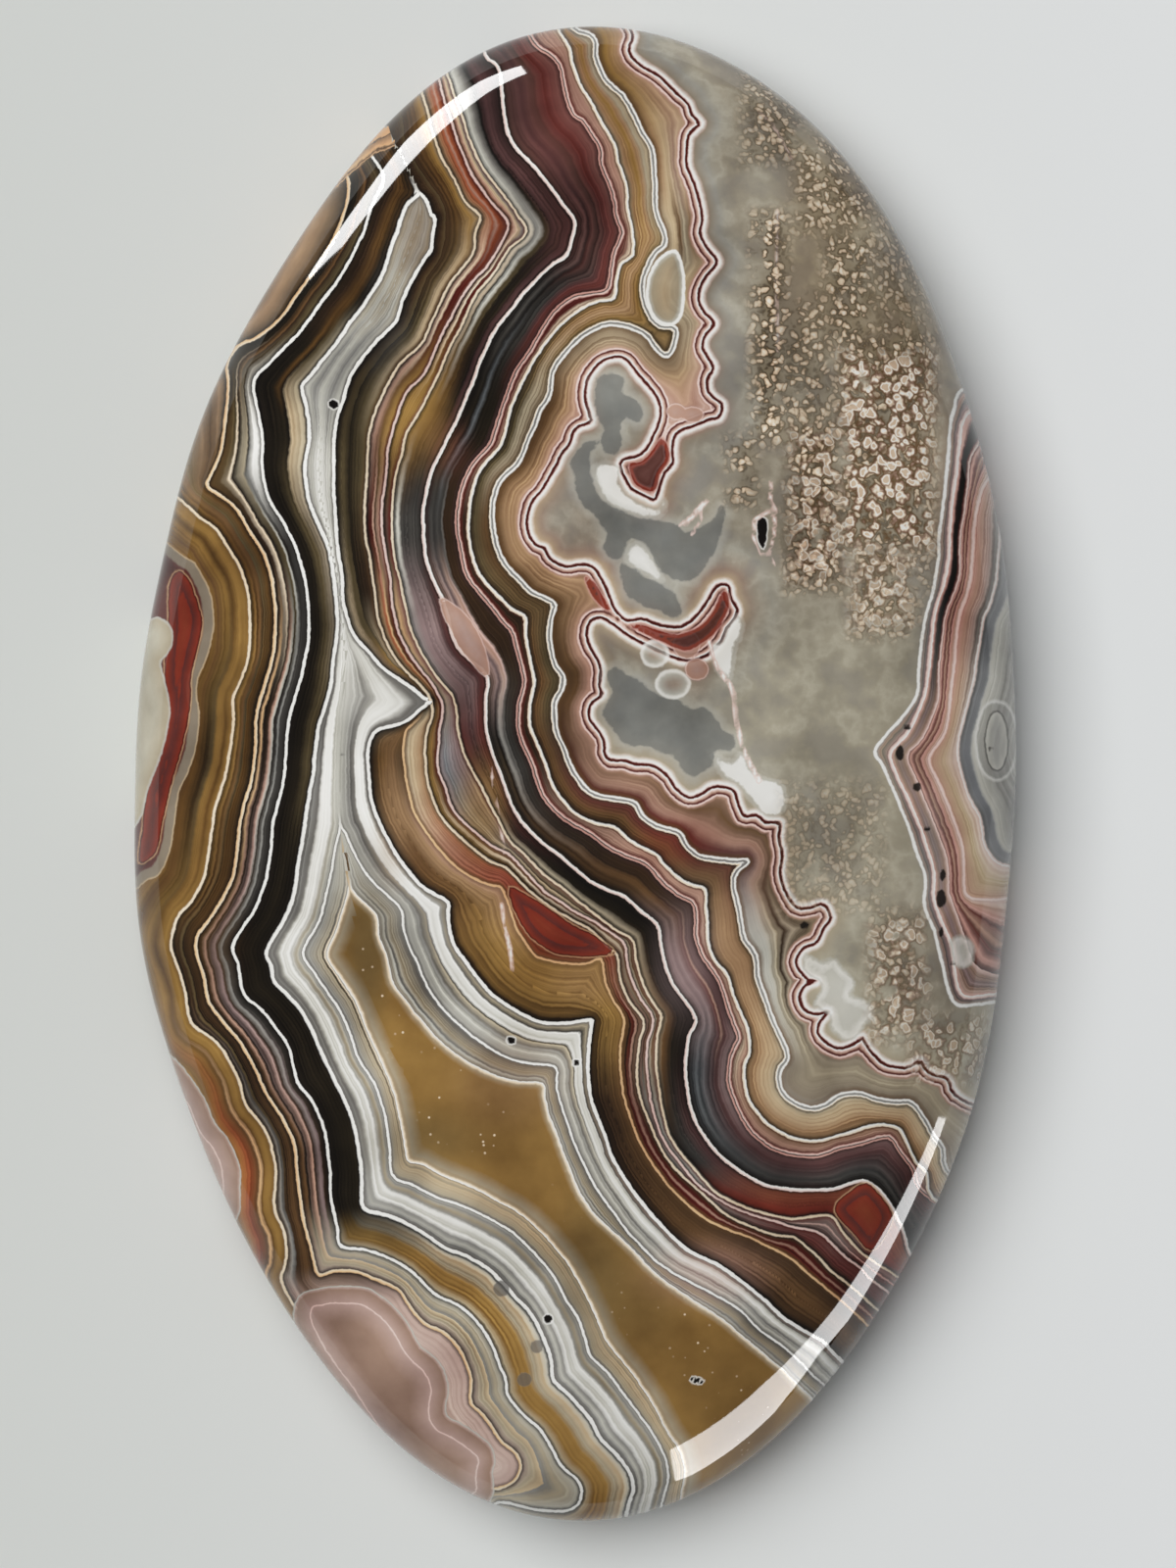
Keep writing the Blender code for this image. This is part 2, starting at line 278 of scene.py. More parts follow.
        795, 855, 798, 872, 796, 890, 801, 908, 812, 925, 826, 926, 840, 922, 848, 936, 840, 948,
        834, 962, 822, 967, 813, 978, 815, 989, 825, 1000, 833, 1001, 822, 1005, 816, 1017,
        822, 1031, 835, 1035, 845, 1032, 837, 1042, 835, 1054, 845, 1065, 858, 1070, 872, 1065,
        879, 1058, 884, 1066, 900, 1085, 919, 1090, 930, 1087, 939, 1082, 948, 1094, 967, 1101,
        975, 1118, 1020, 1140,
    ],
    "f1": [
        1010, 385, 980, 399, 973, 418, 969, 444, 967, 470, 964, 499, 961, 525, 958, 551, 957, 572,
        953, 600, 947, 619, 942, 642, 939, 668, 937, 690, 935, 709, 924, 728, 907, 747, 893, 767,
        902, 783, 914, 812, 926, 843, 936, 872, 944, 896, 943, 925, 953, 951, 962, 985, 973, 1023,
        996, 1025, 1016, 1023, 1060, 1020,
    ],
    "f2": [
        1020, 395, 985, 423, 979, 450, 975, 482, 971, 512, 969, 542, 967, 572, 963, 595, 956, 617,
        952, 636, 949, 664, 945, 700, 936, 728, 922, 752, 908, 768, 914, 788, 926, 814, 936, 838,
        946, 867, 953, 891, 952, 918, 962, 946, 970, 963, 974, 990, 980, 1014, 1000, 1017,
        1060, 1010,
    ],
    "f3": [
        1025, 420, 997, 455, 989, 472, 987, 499, 983, 525, 980, 555, 979, 585, 973, 606, 966, 625,
        962, 647, 958, 679, 958, 711, 948, 738, 938, 757, 926, 771, 934, 793, 946, 822, 958, 853,
        967, 884, 968, 910, 977, 934, 985, 960, 1000, 990, 1060, 1000,
    ],
    "f5": [
        1035, 450, 1005, 493, 999, 512, 994, 534, 993, 561, 991, 583, 987, 604, 981, 621, 977, 640,
        974, 668, 971, 700, 964, 747, 948, 774, 958, 800, 972, 834, 982, 865, 984, 903, 989, 915,
        1008, 918, 1050, 915,
    ],
    "f6": [
        1045, 470, 1022, 508, 1020, 551, 1017, 589, 1011, 615, 1003, 632, 1000, 653, 996, 679,
        994, 694, 986, 723, 979, 750, 978, 776, 989, 814, 1000, 834, 1006, 865, 1022, 882, 1050, 885,
    ],
}


# A round or oval patch: middle, then how far it reaches across and up.
def disc(x, y, across, up):
    turns = np.arange(8) * math.pi / 4
    return np.column_stack([x + across * np.cos(turns), y + up * np.sin(turns)]).ravel().tolist()


# Closed patches of one kind each, in the same pixels.
patches = {
    "redFill": [
        [519, 905, 530, 940, 548, 962, 575, 975, 612, 975, 628, 972, 606, 955, 575, 938, 545, 918],
        [852, 1236, 862, 1220, 882, 1207, 898, 1219, 910, 1239, 905, 1257, 890, 1276, 874, 1262],
        [181, 582, 193, 592, 199, 606, 205, 625, 206, 640, 203, 655, 196, 685, 194, 720, 186, 760,
         175, 800, 165, 840, 158, 870, 142, 880, 146, 840, 152, 800, 165, 760, 172, 720, 168, 690,
         172, 640, 172, 600],
    ],
    "nodule": [
        [325, 1316, 337, 1313, 357, 1313, 376, 1316, 396, 1329, 410, 1343, 420, 1358, 430, 1375,
         442, 1385, 452, 1399, 457, 1419, 454, 1443, 471, 1453, 488, 1465, 501, 1477, 505, 1492,
         502, 1504, 500, 1532, 462, 1548, 420, 1522, 385, 1482, 350, 1432, 320, 1388,
         300, 1350, 306, 1322],
        [150, 1060, 182, 1086, 192, 1098, 207, 1119, 219, 1146, 231, 1161, 242, 1185, 245, 1209,
         240, 1245, 200, 1240, 150, 1150],
    ],
    "paleLobe": [[150, 632, 163, 630, 175, 640, 176, 655, 170, 668, 163, 675, 167, 690, 173, 718, 171, 745,
                  162, 775,
                  150, 806, 141, 840, 120, 840, 120, 640]],
    "eyeRim": [
        [130, 565, 189, 570, 205, 587, 214, 606, 217, 631, 215, 652, 210, 672, 202, 691, 200, 708,
         202, 723, 201, 745, 198, 767, 191, 789, 183, 806, 179, 830, 177, 845, 174, 863, 165, 887,
         150, 897, 110, 895],
    ],
    "palePatch": [
        [822, 975, 840, 985, 850, 978, 862, 990, 872, 1002, 868, 1015, 885, 1020, 892, 1035, 880, 1050,
         865, 1062, 848, 1050, 845, 1035, 830, 1025, 838, 1010, 835, 1000, 822, 992],
        [970, 960, 985, 955, 996, 968, 990, 985, 975, 983],
    ],
    "veil": [
        [606, 478, 620, 473, 632, 478, 632, 493, 642, 508, 656, 516, 670, 518, 676, 508, 680, 516,
         672, 527, 655, 526, 640, 520, 624, 514, 612, 502],
        [646, 556, 660, 562, 676, 592, 662, 586, 640, 574],
        [728, 770, 738, 776, 748, 776, 757, 768, 765, 785, 780, 797, 795, 800, 802, 815, 794, 832,
         778, 830, 766, 815, 752, 800, 740, 794],
        [726, 660, 738, 655, 745, 640, 752, 628, 757, 640, 747, 665, 746, 690, 738, 690, 728, 676],
    ],
    "pinkSpot": [
        disc(701, 658, 14, 14), disc(711, 683, 12, 11), disc(690, 420, 10, 8), disc(707, 423, 11, 8),
        [448, 608, 460, 615, 476, 628, 488, 645, 497, 670, 499, 692, 485, 681, 470, 662, 458, 640, 451, 624],
    ],
    "pocket": [
        [641, 472, 655, 470, 667, 456, 675, 446, 682, 455, 683, 470, 674, 484, 668, 502, 650, 496, 643, 484],
        [716, 636, 728, 622, 736, 604, 742, 604, 745, 618, 738, 634, 726, 650, 706, 664, 690, 662, 672, 654,
         655, 646, 640, 638, 655, 637, 672, 643, 690, 647, 704, 643],
        [596, 588, 606, 592, 616, 608, 624, 624, 614, 620, 602, 606],
    ],
    "paleCell": [
        [690, 256, 697, 275, 698, 300, 694, 322, 686, 331, 672, 328, 662, 312, 660, 292, 667, 272,
         678, 260],
    ],
    "greyCell": [
        [606, 390, 612, 383, 622, 380, 632, 382, 638, 390, 634, 400, 640, 404, 650, 408, 656, 420,
         652, 432, 644, 430, 636, 426, 634, 440, 638, 452, 630, 464, 616, 462, 612, 448, 616, 436,
         608, 424, 605, 408],
        [582, 468, 590, 456, 602, 449, 612, 451, 604, 462, 602, 476, 606, 490, 614, 507, 626, 518,
         640, 524, 655, 529, 672, 530, 688, 532, 700, 543, 714, 536, 728, 528, 737, 515, 740, 535,
         732, 556, 722, 575, 708, 592, 692, 594, 677, 587, 668, 574, 658, 556, 644, 550, 638, 560,
         634, 571, 622, 570, 616, 560, 618, 545, 610, 530, 598, 520, 588, 502, 584, 484],
        [631, 577, 638, 574, 650, 580, 661, 590, 674, 594, 685, 602, 692, 612, 697, 622, 694, 630,
         683, 630, 672, 624, 660, 621, 650, 614, 638, 608, 632, 594],
        [618, 690, 622, 682, 631, 680, 638, 688, 648, 692, 661, 702, 677, 711, 693, 714, 706, 722,
         718, 722, 732, 732, 739, 744, 748, 750, 752, 760, 746, 768, 736, 765, 729, 768, 729, 780,
         718, 790, 708, 796, 697, 788, 690, 776, 680, 770, 661, 763, 649, 764, 634, 757, 621, 741,
         615, 730, 619, 716, 625, 705],
    ],
    "darkSpot": [
        disc(1011, 764, 2.5, 3), disc(918, 768, 4, 8), disc(936, 803, 4, 5), disc(946, 846, 3, 3),
        disc(960, 917, 5, 10), disc(962, 893, 3, 6), disc(972, 983, 2, 3), disc(926, 742, 5, 3),
        disc(821, 944, 5, 4), disc(960, 950, 3, 6),
    ],
    "innerEye": [disc(1017, 756, 12, 31)],
    "scallop": [disc(668, 667, 14, 13), disc(687, 698, 17, 14)],
    "greySpot": [disc(512, 1315, 7, 7), disc(548, 1374, 6, 6), disc(535, 1408, 7, 7), disc(350, 770, 2, 2)],
    "tanCap": [
        [330, 196, 355, 180, 383, 157, 400, 150, 420, 137, 440, 118, 452, 108, 460, 90, 440, 70,
         390, 90],
    ],
    "blackPit": [
        [336, 409, 344, 409, 345, 416, 337, 417], [518, 1059, 525, 1059, 525, 1064, 518, 1064],
        [585, 1082, 591, 1082, 591, 1087, 585, 1087], disc(559, 1346, 4, 4),
        [774, 530, 782, 532, 780, 560, 774, 552],
        [706, 1405, 718, 1408, 716, 1412, 706, 1410],
    ],
}
# Thin vein lines and marks that cross the banding, and a few painted glints: points in pixels,
# then half the width in mm.
veinsAndGlints = {
    "paleVeinAndGlint": [
        ([723, 655, 727, 672, 738, 690, 746, 700, 749, 711, 751, 735, 757, 760, 766, 781, 775, 797], 0.05),
        ([793, 215, 792, 290, 794, 360], 0.02), ([772, 111, 790, 130, 808, 162], 0.02),
        ([512, 922, 514, 942, 520, 965, 523, 991], 0.03),
        ([787, 489, 786, 512, 791, 520, 790, 545, 785, 566, 777, 566, 769, 548, 770, 530, 784, 522], 0.03),
        # The last two strokes on the next line are painted glints: pale highlights drawn in as colour.
        ([785, 566, 790, 576], 0.02), ([706, 545, 716, 530, 714, 518], 0.02), ([694, 536, 700, 530], 0.02),
        
        # The first stroke on the next line is a painted glint as well.
        ([700, 535, 712, 520, 722, 510], 0.04), ([500, 780, 515, 870], 0.02),
    ],
}
# The fuzzy grains and rings in the clear part lie in upright columns: x0, y0, x1, y1, strength.
mossColumns = [
    (770, 220, 800, 450, 1.0), (813, 142, 890, 235, 0.7), (843, 238, 890, 354, 0.8),
    (853, 340, 950, 557, 0.8), (806, 430, 856, 600, 1.0), (870, 541, 934, 648, 0.7),
    (745, 450, 768, 512, 0.9), (760, 75, 815, 165, 0.6), (890, 930, 935, 1060, 0.5),
    (792, 300, 850, 440, 0.6), (920, 480, 950, 600, 0.5), (890, 180, 945, 360, 0.45),
    (800, 800, 900, 930, 0.3),
]
ringColumns = [
    (860, 362, 950, 557, 1.0), (808, 440, 856, 590, 0.7), (890, 940, 945, 1060, 0.6),
    (930, 1040, 1000, 1100, 0.6), (870, 560, 930, 640, 0.5),
]
columnEdge = 24    # pixels over which a column fades out

# Colours of the stone, as red, green and blue out of 255 on a screen.
tints = {
    "white": (238, 237, 233), "greyWhite": (194, 193, 186), "grey": (148, 147, 144),
    "midGrey": (108, 105, 102), "darkGrey": (66, 64, 62), "black": (22, 18, 15),
    "oliveBlack": (34, 28, 19), "olive": (92, 80, 56), "cream": (230, 214, 192),
    "creamOrange": (222, 188, 148), "honey": (156, 124, 70), "honeyDark": (98, 70, 36),
    "darkBrown": (56, 40, 27), "brown": (104, 76, 48), "tan": (168, 138, 106),
    "palTan": (196, 178, 150), "pinkTan": (182, 148, 132), "pink": (206, 164, 154),
    "palePink": (228, 204, 197), "mauve": (150, 130, 130), "plum": (84, 58, 58),
    "maroon": (102, 54, 50), "darkRed": (84, 30, 24), "red": (142, 58, 42),
    "orangeRed": (152, 84, 54), "greyGreen": (164, 158, 142), "beige": (176, 166, 146),
    "coolGrey": (128, 130, 134), "greyBlue": (96, 100, 104), "moss": (124, 106, 76), "slate": (124, 126, 124),
    "taupe": (146, 135, 120), "paleGreen": (184, 179, 164),
    "rose": (158, 132, 117), "plumBrown": (84, 60, 54), "mauveRed": (124, 84, 78),
    "mauvePink": (182, 158, 150), "grainTan": (206, 184, 162), "mottleGrey": (148, 143, 133),
    "mossGold": (152, 126, 88),
    "paleMauve": (200, 180, 172),
}
# Between each two lines, the colours across the gap from 0 to 1, at one or more heights
# in the photograph.
leftGaps = [
    ("", "a3", [
        (560, "0 honeyDark, .1 honey, .22 honeyDark, .3 honey, .42 brown, .5 honey, .7 honey, 1 honeyDark"),
        (800, "0 honey, .1 honeyDark, .2 honey, .24 olive, .3 oliveBlack, .45 honeyDark, .6 brown, 1 brown"),
        (1000, "0 honeyDark, .08 honey, .2 honeyDark, .3 honey, .45 brown, .55 honey, .8 honeyDark, 1 honey"),
        (1200, "0 honeyDark, .1 honey, .16 honeyDark, .2 creamOrange, .23 brown, .35 orangeRed, .5 honey, "
               "1 honey"),
    ]),
    ("a3", "a2", [
        (330, "0 honey, .3 tan, .5 creamOrange, .6 honey, .75 tan, .85 honeyDark, .92 tan, 1 oliveBlack"),
        (560, "0 oliveBlack, .2 honeyDark, .5 brown, .55 olive, .8 honeyDark, 1 black"),
        (720, "0 honeyDark, .1 honey, .4 brown, .5 olive, .58 honeyDark, .9 oliveBlack, 1 black"),
        (1000, "0 oliveBlack, .3 darkBrown, .45 olive, .5 black, .8 darkBrown, 1 black"),
        (1290, "0 brown, .3 grey, .4 darkBrown, .7 brown, 1 darkBrown"),
        (1335, "0 darkBrown, .12 mauvePink, .5 rose, .8 paleMauve, 1 mauvePink"),
    ]),
    ("a2", "a1", [
        (330, "0 black, .3 oliveBlack, .5 brown, .55 darkBrown, .8 olive, 1 oliveBlack"),
        (450, "0 honeyDark, .3 olive, .35 cream, .4 oliveBlack, .6 beige, .65 black, .8 white, 1 white"),
        (560, "0 black, .2 darkBrown, .35 cream, .4 black, .6 olive, .65 greyWhite, .7 black, .9 darkGrey, "
              "1 black"),
        (720, "0 black, .1 darkBrown, .18 creamOrange, .24 black, .38 darkBrown, .45 pinkTan, .54 greyWhite, "
              ".58 black, .66 darkGrey, .7 grey, .76 darkGrey, .94 darkGrey, 1 black"),
        (1000, "0 black, .15 darkBrown, .25 pinkTan, .3 black, .5 mauve, .56 darkBrown, .7 grey, "
               ".75 darkGrey, 1 black"),
        (1220, "0 black, .2 brown, .3 black, .5 pinkTan, .55 darkBrown, .75 mauve, .8 darkBrown, 1 black"),
        (1300, "0 mauve, .3 beige, .5 palTan, .52 grey, .7 beige, 1 greyWhite"),
    ]),
    ("a1", "sl", [
        (300, "0 oliveBlack, .3 darkBrown, .6 honeyDark, .8 oliveBlack, 1 black"),
        (360, "0 black, .4 oliveBlack, .5 honeyDark, .6 oliveBlack, .68 olive, 1 beige"),
        (430, "0 black, .5 oliveBlack, .58 black, .64 palTan, .95 beige, 1 palTan"),
        (560, "0 black, .35 oliveBlack, .6 olive, .88 taupe, 1 olive"),
        (740, "0 black, .5 oliveBlack, .75 olive, 1 oliveBlack"),
        (900, "0 black, .5 oliveBlack, 1 black"),
        (1230, "0 black, .6 oliveBlack, 1 oliveBlack"),
        (1290, "0 greyWhite, .06 beige, .25 honey, .5 honey, .65 beige, .8 palTan, .93 greyWhite, 1 grey"),
    ]),
    ("sl", "pl", [
        (300, "0 grey, .2 beige, .6 greyWhite, 1 beige"),
        (360, "0 white, .3 greyWhite, .6 grey, 1 greyWhite"),
        (600, "0 darkGrey, .2 grey, .5 greyWhite, .8 white, 1 white"),
        (760, "0 darkGrey, .15 grey, .3 midGrey, .4 white, .7 white, .8 greyWhite, 1 greyWhite"),
        (1100, "0 darkGrey, .1 grey, .22 midGrey, .34 greyWhite, .4 white, .46 greyWhite, .6 white, "
               ".66 grey, .8 beige, .9 grey, 1 greyWhite"),
        (1300, "0 midGrey, .12 grey, .2 greyWhite, .3 grey, .4 white, .46 greyWhite, .64 white, .7 grey, "
               ".8 beige, .9 grey, 1 greyWhite"),
    ]),
    ("pl", "ql", [
        (840, "0 greyWhite, 1 greyWhite"),
        (1000, "0 midGrey, .2 grey, .7 beige, .8 oliveBlack, .86 cream, 1 white"),
        (1250, "0 midGrey, .25 beige, .7 palTan, .8 beige, .9 palTan, 1 palTan"),
    ]),
    ("ql", "", [
        (840, "0 greyWhite, 1 greyWhite"), (880, "0 honeyDark, .1 beige, .3 honey, .6 honey, 1 honey"),
    ]),
]
rightGaps = [
    ("", "qr", [(840, "0 greyWhite, 1 greyWhite"), (880, "0 palTan, .1 honey, .3 honey, 1 honey")]),
    ("qr", "pr", [
        (840, "0 greyWhite, 1 greyWhite"),
        (1000, "0 palTan, .2 greyWhite, .3 grey, .5 beige, .9 midGrey, 1 grey"),
    ]),
    ("pr", "sr", [
        (300, "0 beige, .5 greyWhite, .8 beige, 1 grey"),
        (360, "0 greyWhite, .4 grey, .8 greyWhite, 1 grey"),
        (600, "0 white, .7 greyWhite, 1 midGrey"),
        (800, "0 greyWhite, .3 grey, .5 midGrey, .55 white, .8 white, .9 midGrey, 1 grey"),
        (1060, "0 grey, .25 greyWhite, .35 grey, .5 beige, .53 oliveBlack, .58 white, .66 greyWhite, "
               ".78 white, .82 darkGrey, .9 beige, 1 beige"),
        (1250, "0 midGrey, .2 greyWhite, .4 grey, .52 greyWhite, .6 white, .76 greyWhite, .82 midGrey, "
               ".9 rose, 1 beige"),
    ]),
    ("sr", "c0", [
        (260, "0 black, .6 darkBrown, 1 olive"), (500, "0 oliveBlack, .5 olive, 1 oliveBlack"),
        (640, "0 beige, .4 palTan, .7 olive, 1 olive"), (690, "0 beige, .5 tan, 1 honey"),
        (780, "0 black, .35 honeyDark, .7 brown, 1 oliveBlack"),
        (880, "0 black, .2 brown, .5 brown, .8 tan, 1 pinkTan"),
        (1000, "0 honeyDark, .5 honey, 1 honey"), (1130, "0 darkBrown, .5 darkBrown, 1 brown"),
        (1300, "0 darkBrown, .5 brown, 1 darkBrown"),
    ]),
    ("c0", "b0", [
        (200, "0 darkBrown, .5 honeyDark, .8 honey, 1 palTan"),
        (300, "0 black, .4 olive, .7 palTan, .9 brown, 1 cream"),
        (460, "0 oliveBlack, .8 olive, 1 olive"), (600, "0 oliveBlack, .8 darkBrown, 1 black"),
        (690, "0 olive, .5 palTan, 1 brown"), (780, "0 beige, .4 palTan, .8 tan, 1 creamOrange"),
        (930, "0 orangeRed, .4 red, .8 red, 1 darkRed"),
        (1060, "0 brown, .3 darkBrown, .5 darkRed, .6 pinkTan, .7 darkBrown, 1 pinkTan"),
        (1180, "0 darkRed, .4 darkRed, .5 pinkTan, .6 darkRed, 1 black"),
    ]),
    ("b0", "b2", [
        (200, "0 darkBrown, .1 tan, .5 orangeRed, .6 pinkTan, .7 orangeRed, 1 darkRed"),
        (300, "0 darkBrown, .2 pinkTan, .4 cream, .5 darkRed, .8 darkRed, 1 pinkTan"),
        (420, "0 darkRed, .2 pinkTan, .5 brown, .8 honey, 1 darkBrown"),
        (540, "0 black, .4 darkRed, .5 pinkTan, .6 darkBrown, .8 pinkTan, 1 black"),
        (640, "0 brown, .3 tan, .5 orangeRed, .6 creamOrange, .7 brown, 1 darkRed"),
        (780, "0 honeyDark, .3 honey, .7 brown, 1 darkBrown"),
        (900, "0 darkBrown, .3 honeyDark, .6 cream, .7 brown, 1 palTan"),
        (1060, "0 darkBrown, .4 pinkTan, .5 darkBrown, 1 palTan"),
        (1180, "0 cream, .3 grey, .6 greyWhite, 1 midGrey"),
        (1270, "0 darkBrown, .4 maroon, 1 maroon"),
    ]),
    ("b2", "b3", [
        (200, "0 black, .1 orangeRed, .4 pinkTan, .6 palTan, .8 grey, 1 darkGrey"),
        (300, "0 black, .2 darkRed, .5 cream, .6 darkRed, .8 darkRed, 1 cream"),
        (420, "0 honeyDark, .3 honey, .8 honey, 1 creamOrange"),
        (540, "0 black, .5 plumBrown, .8 maroon, 1 black"),
        (640, "0 darkRed, .3 creamOrange, .5 tan, .8 pinkTan, 1 darkRed"),
        (780, "0 mauve, .3 coolGrey, .8 mauve, 1 midGrey"),
        (900, "0 brown, .4 palTan, .5 darkBrown, 1 palTan"),
        (1060, "0 black, .3 cream, .5 brown, 1 palTan"), (1180, "0 grey, .5 greyWhite, 1 darkGrey"),
        (1290, "0 maroon, .4 darkRed, .5 pink, .6 darkRed, 1 pink"),
    ]),
    ("b3", "b4", [
        (170, "0 grey, .12 greyWhite, .3 midGrey, .42 black, .6 plum, 1 black"),
        (300, "0 black, .1 cream, .2 black, .3 greyWhite, .4 olive, .55 black, .7 oliveBlack, .85 plum, "
              "1 black"),
        (420, "0 honey, .4 honeyDark, .6 darkBrown, .75 black, .85 plum, 1 oliveBlack"),
        (540, "0 black, .2 greyWhite, .3 darkGrey, .8 darkGrey, 1 black"),
        (650, "0 grey, .3 mauve, .6 mauve, .8 plum, 1 maroon"),
        (760, "0 black, .1 maroon, .5 plum, .8 maroon, 1 darkRed"),
        (900, "0 darkBrown, .2 beige, .4 oliveBlack, .8 black, 1 oliveBlack"),
        (1060, "0 palTan, .2 brown, .5 oliveBlack, 1 black"),
        (1180, "0 greyWhite, .1 black, .4 darkGrey, .8 plum, 1 black"),
        (1250, "0 darkRed, .3 red, .7 orangeRed, 1 orangeRed"),
    ]),
    ("b4", "m", [
        (170, "0 plumBrown, .3 plum, .5 plumBrown, .62 maroon, .68 darkRed, .74 maroon, .88 mauveRed, "
              "1 maroon"),
        (300, "0 black, .3 darkGrey, .35 black, .6 darkGrey, .7 plum, .8 maroon, .95 maroon, 1 darkRed"),
        (420, "0 black, .3 oliveBlack, .4 greyBlue, .5 oliveBlack, .8 oliveBlack, 1 plum"),
        (540, "0 plum, .2 darkGrey, .5 darkGrey, .55 midGrey, .6 darkBrown, 1 darkBrown"),
        (650, "0 pinkTan, .3 mauve, .45 pinkTan, .5 palePink, .55 darkBrown, .9 darkBrown, 1 black"),
        (760, "0 darkGrey, .3 black, .45 grey, .6 darkGrey, 1 oliveBlack"),
        (900, "0 black, .5 brown, .6 darkBrown, 1 darkBrown"),
        (1000, "0 mauve, .4 mauve, .6 maroon, .65 pinkTan, .7 plum, .9 plum, 1 black"),
        (1100, "0 black, .3 greyBlue, .7 plum, .9 mauve, 1 black"),
        (1220, "0 black, .3 darkGrey, .7 plum, 1 maroon"),
    ]),
    ("m", "b5", [
        (170, "0 darkRed, .3 pinkTan, .7 pinkTan, 1 palTan"),
        (300, "0 darkRed, .5 darkRed, .8 cream, 1 black"),
        (420, "0 maroon, .3 darkRed, .7 pinkTan, 1 darkBrown"), (540, "0 darkRed, .4 darkBrown, 1 black"),
        (760, "0 darkRed, .5 darkBrown, 1 black"), (900, "0 darkBrown, .3 pinkTan, .8 pinkTan, 1 darkRed"),
        (1060, "0 black, .3 beige, .8 pinkTan, 1 pinkTan"), (1150, "0 black, .3 pinkTan, 1 brown"),
    ]),
    ("b5", "w2", [
        (170, "0 palTan, .2 tan, .45 honey, .6 tan, .75 beige, .9 palTan, 1 greyWhite"),
        (300, "0 honey, .5 tan, .8 honey, 1 olive"),
        (420, "0 oliveBlack, .3 olive, .6 beige, 1 brown"),
        (540, "0 darkBrown, .3 olive, .8 brown, 1 oliveBlack"),
        (700, "0 black, .3 brown, .7 olive, 1 darkBrown"), (840, "0 black, .4 brown, .8 maroon, 1 maroon"),
        (980, "0 darkBrown, .3 tan, .7 tan, 1 brown"), (1130, "0 brown, .3 tan, .7 palTan, 1 beige"),
    ]),
    ("w2", "lace", [
        (60, "0 darkBrown, .3 honey, .6 tan, 1 pinkTan"),
        (170, "0 brown, .2 tan, .4 palTan, .6 rose, .8 palTan, 1 pinkTan"),
        (240, "0 beige, .3 palTan, .45 brown, .55 beige, .7 brown, .85 palTan, 1 pinkTan"),
        (290, "0 palTan, .5 beige, .8 palTan, 1 pinkTan"),
        (420, "0 darkBrown, .25 brown, .5 tan, .75 pinkTan, 1 palePink"),
        (560, "0 darkBrown, .15 brown, .4 tan, .7 tan, 1 pinkTan"),
        (700, "0 darkBrown, .4 brown, .7 pinkTan, 1 tan"),
        (850, "0 darkRed, .2 maroon, .4 pinkTan, .7 brown, 1 pinkTan"),
        (980, "0 greyWhite, .3 greyWhite, .5 beige, .6 darkBrown, .68 taupe, .9 olive, 1 olive"),
        (1110, "0 greyWhite, .15 taupe, .5 beige, .8 taupe, .92 brown, 1 darkBrown"),
    ]),
    ("lace", "", [
        (250, "0 pinkTan, .06 rose, .14 taupe, .3 grey, .6 taupe, 1 taupe"),
        (440, "0 palePink, .08 rose, .2 taupe, .5 grey, .8 taupe, 1 taupe"),
        (560, "0 palePink, .08 palTan, .25 rose, .6 grey, 1 taupe"),
        (700, "0 palePink, .08 beige, .25 taupe, .6 grey, 1 greyGreen"),
        (950, "0 palePink, .1 beige, .4 paleGreen, .8 greyGreen, 1 greyGreen"),
    ]),
]
# Beyond the first line of the corner on the right there is a second, smaller banding.
cornerGaps = [
    ("f1", "f2", [(700, "0 mauve, .3 pinkTan, .5 midGrey, .7 mauve, 1 pink")]),
    ("f2", "f3", [
        (640, "0 palePink, .2 pink, .35 plum, .45 black, .75 black, .85 maroon, 1 palePink"),
        (770, "0 palePink, .3 rose, .5 mauve, .8 rose, 1 palePink")]),
    ("f3", "f5", [
        (700, "0 darkRed, .15 pink, .3 maroon, .4 pinkTan, .55 maroon, .65 pink, .8 pinkTan, 1 palePink"),
    ]),
    ("f5", "f6", [
        (600, "0 pink, .3 pinkTan, .6 mauvePink, .85 midGrey, 1 grey"),
        (860, "0 pinkTan, .5 palTan, 1 palePink"),
    ]),
    ("f6", "", [(700, "0 grey, .1 coolGrey, .2 coolGrey, .26 greyWhite, .6 grey, 1 greyWhite")]),
]
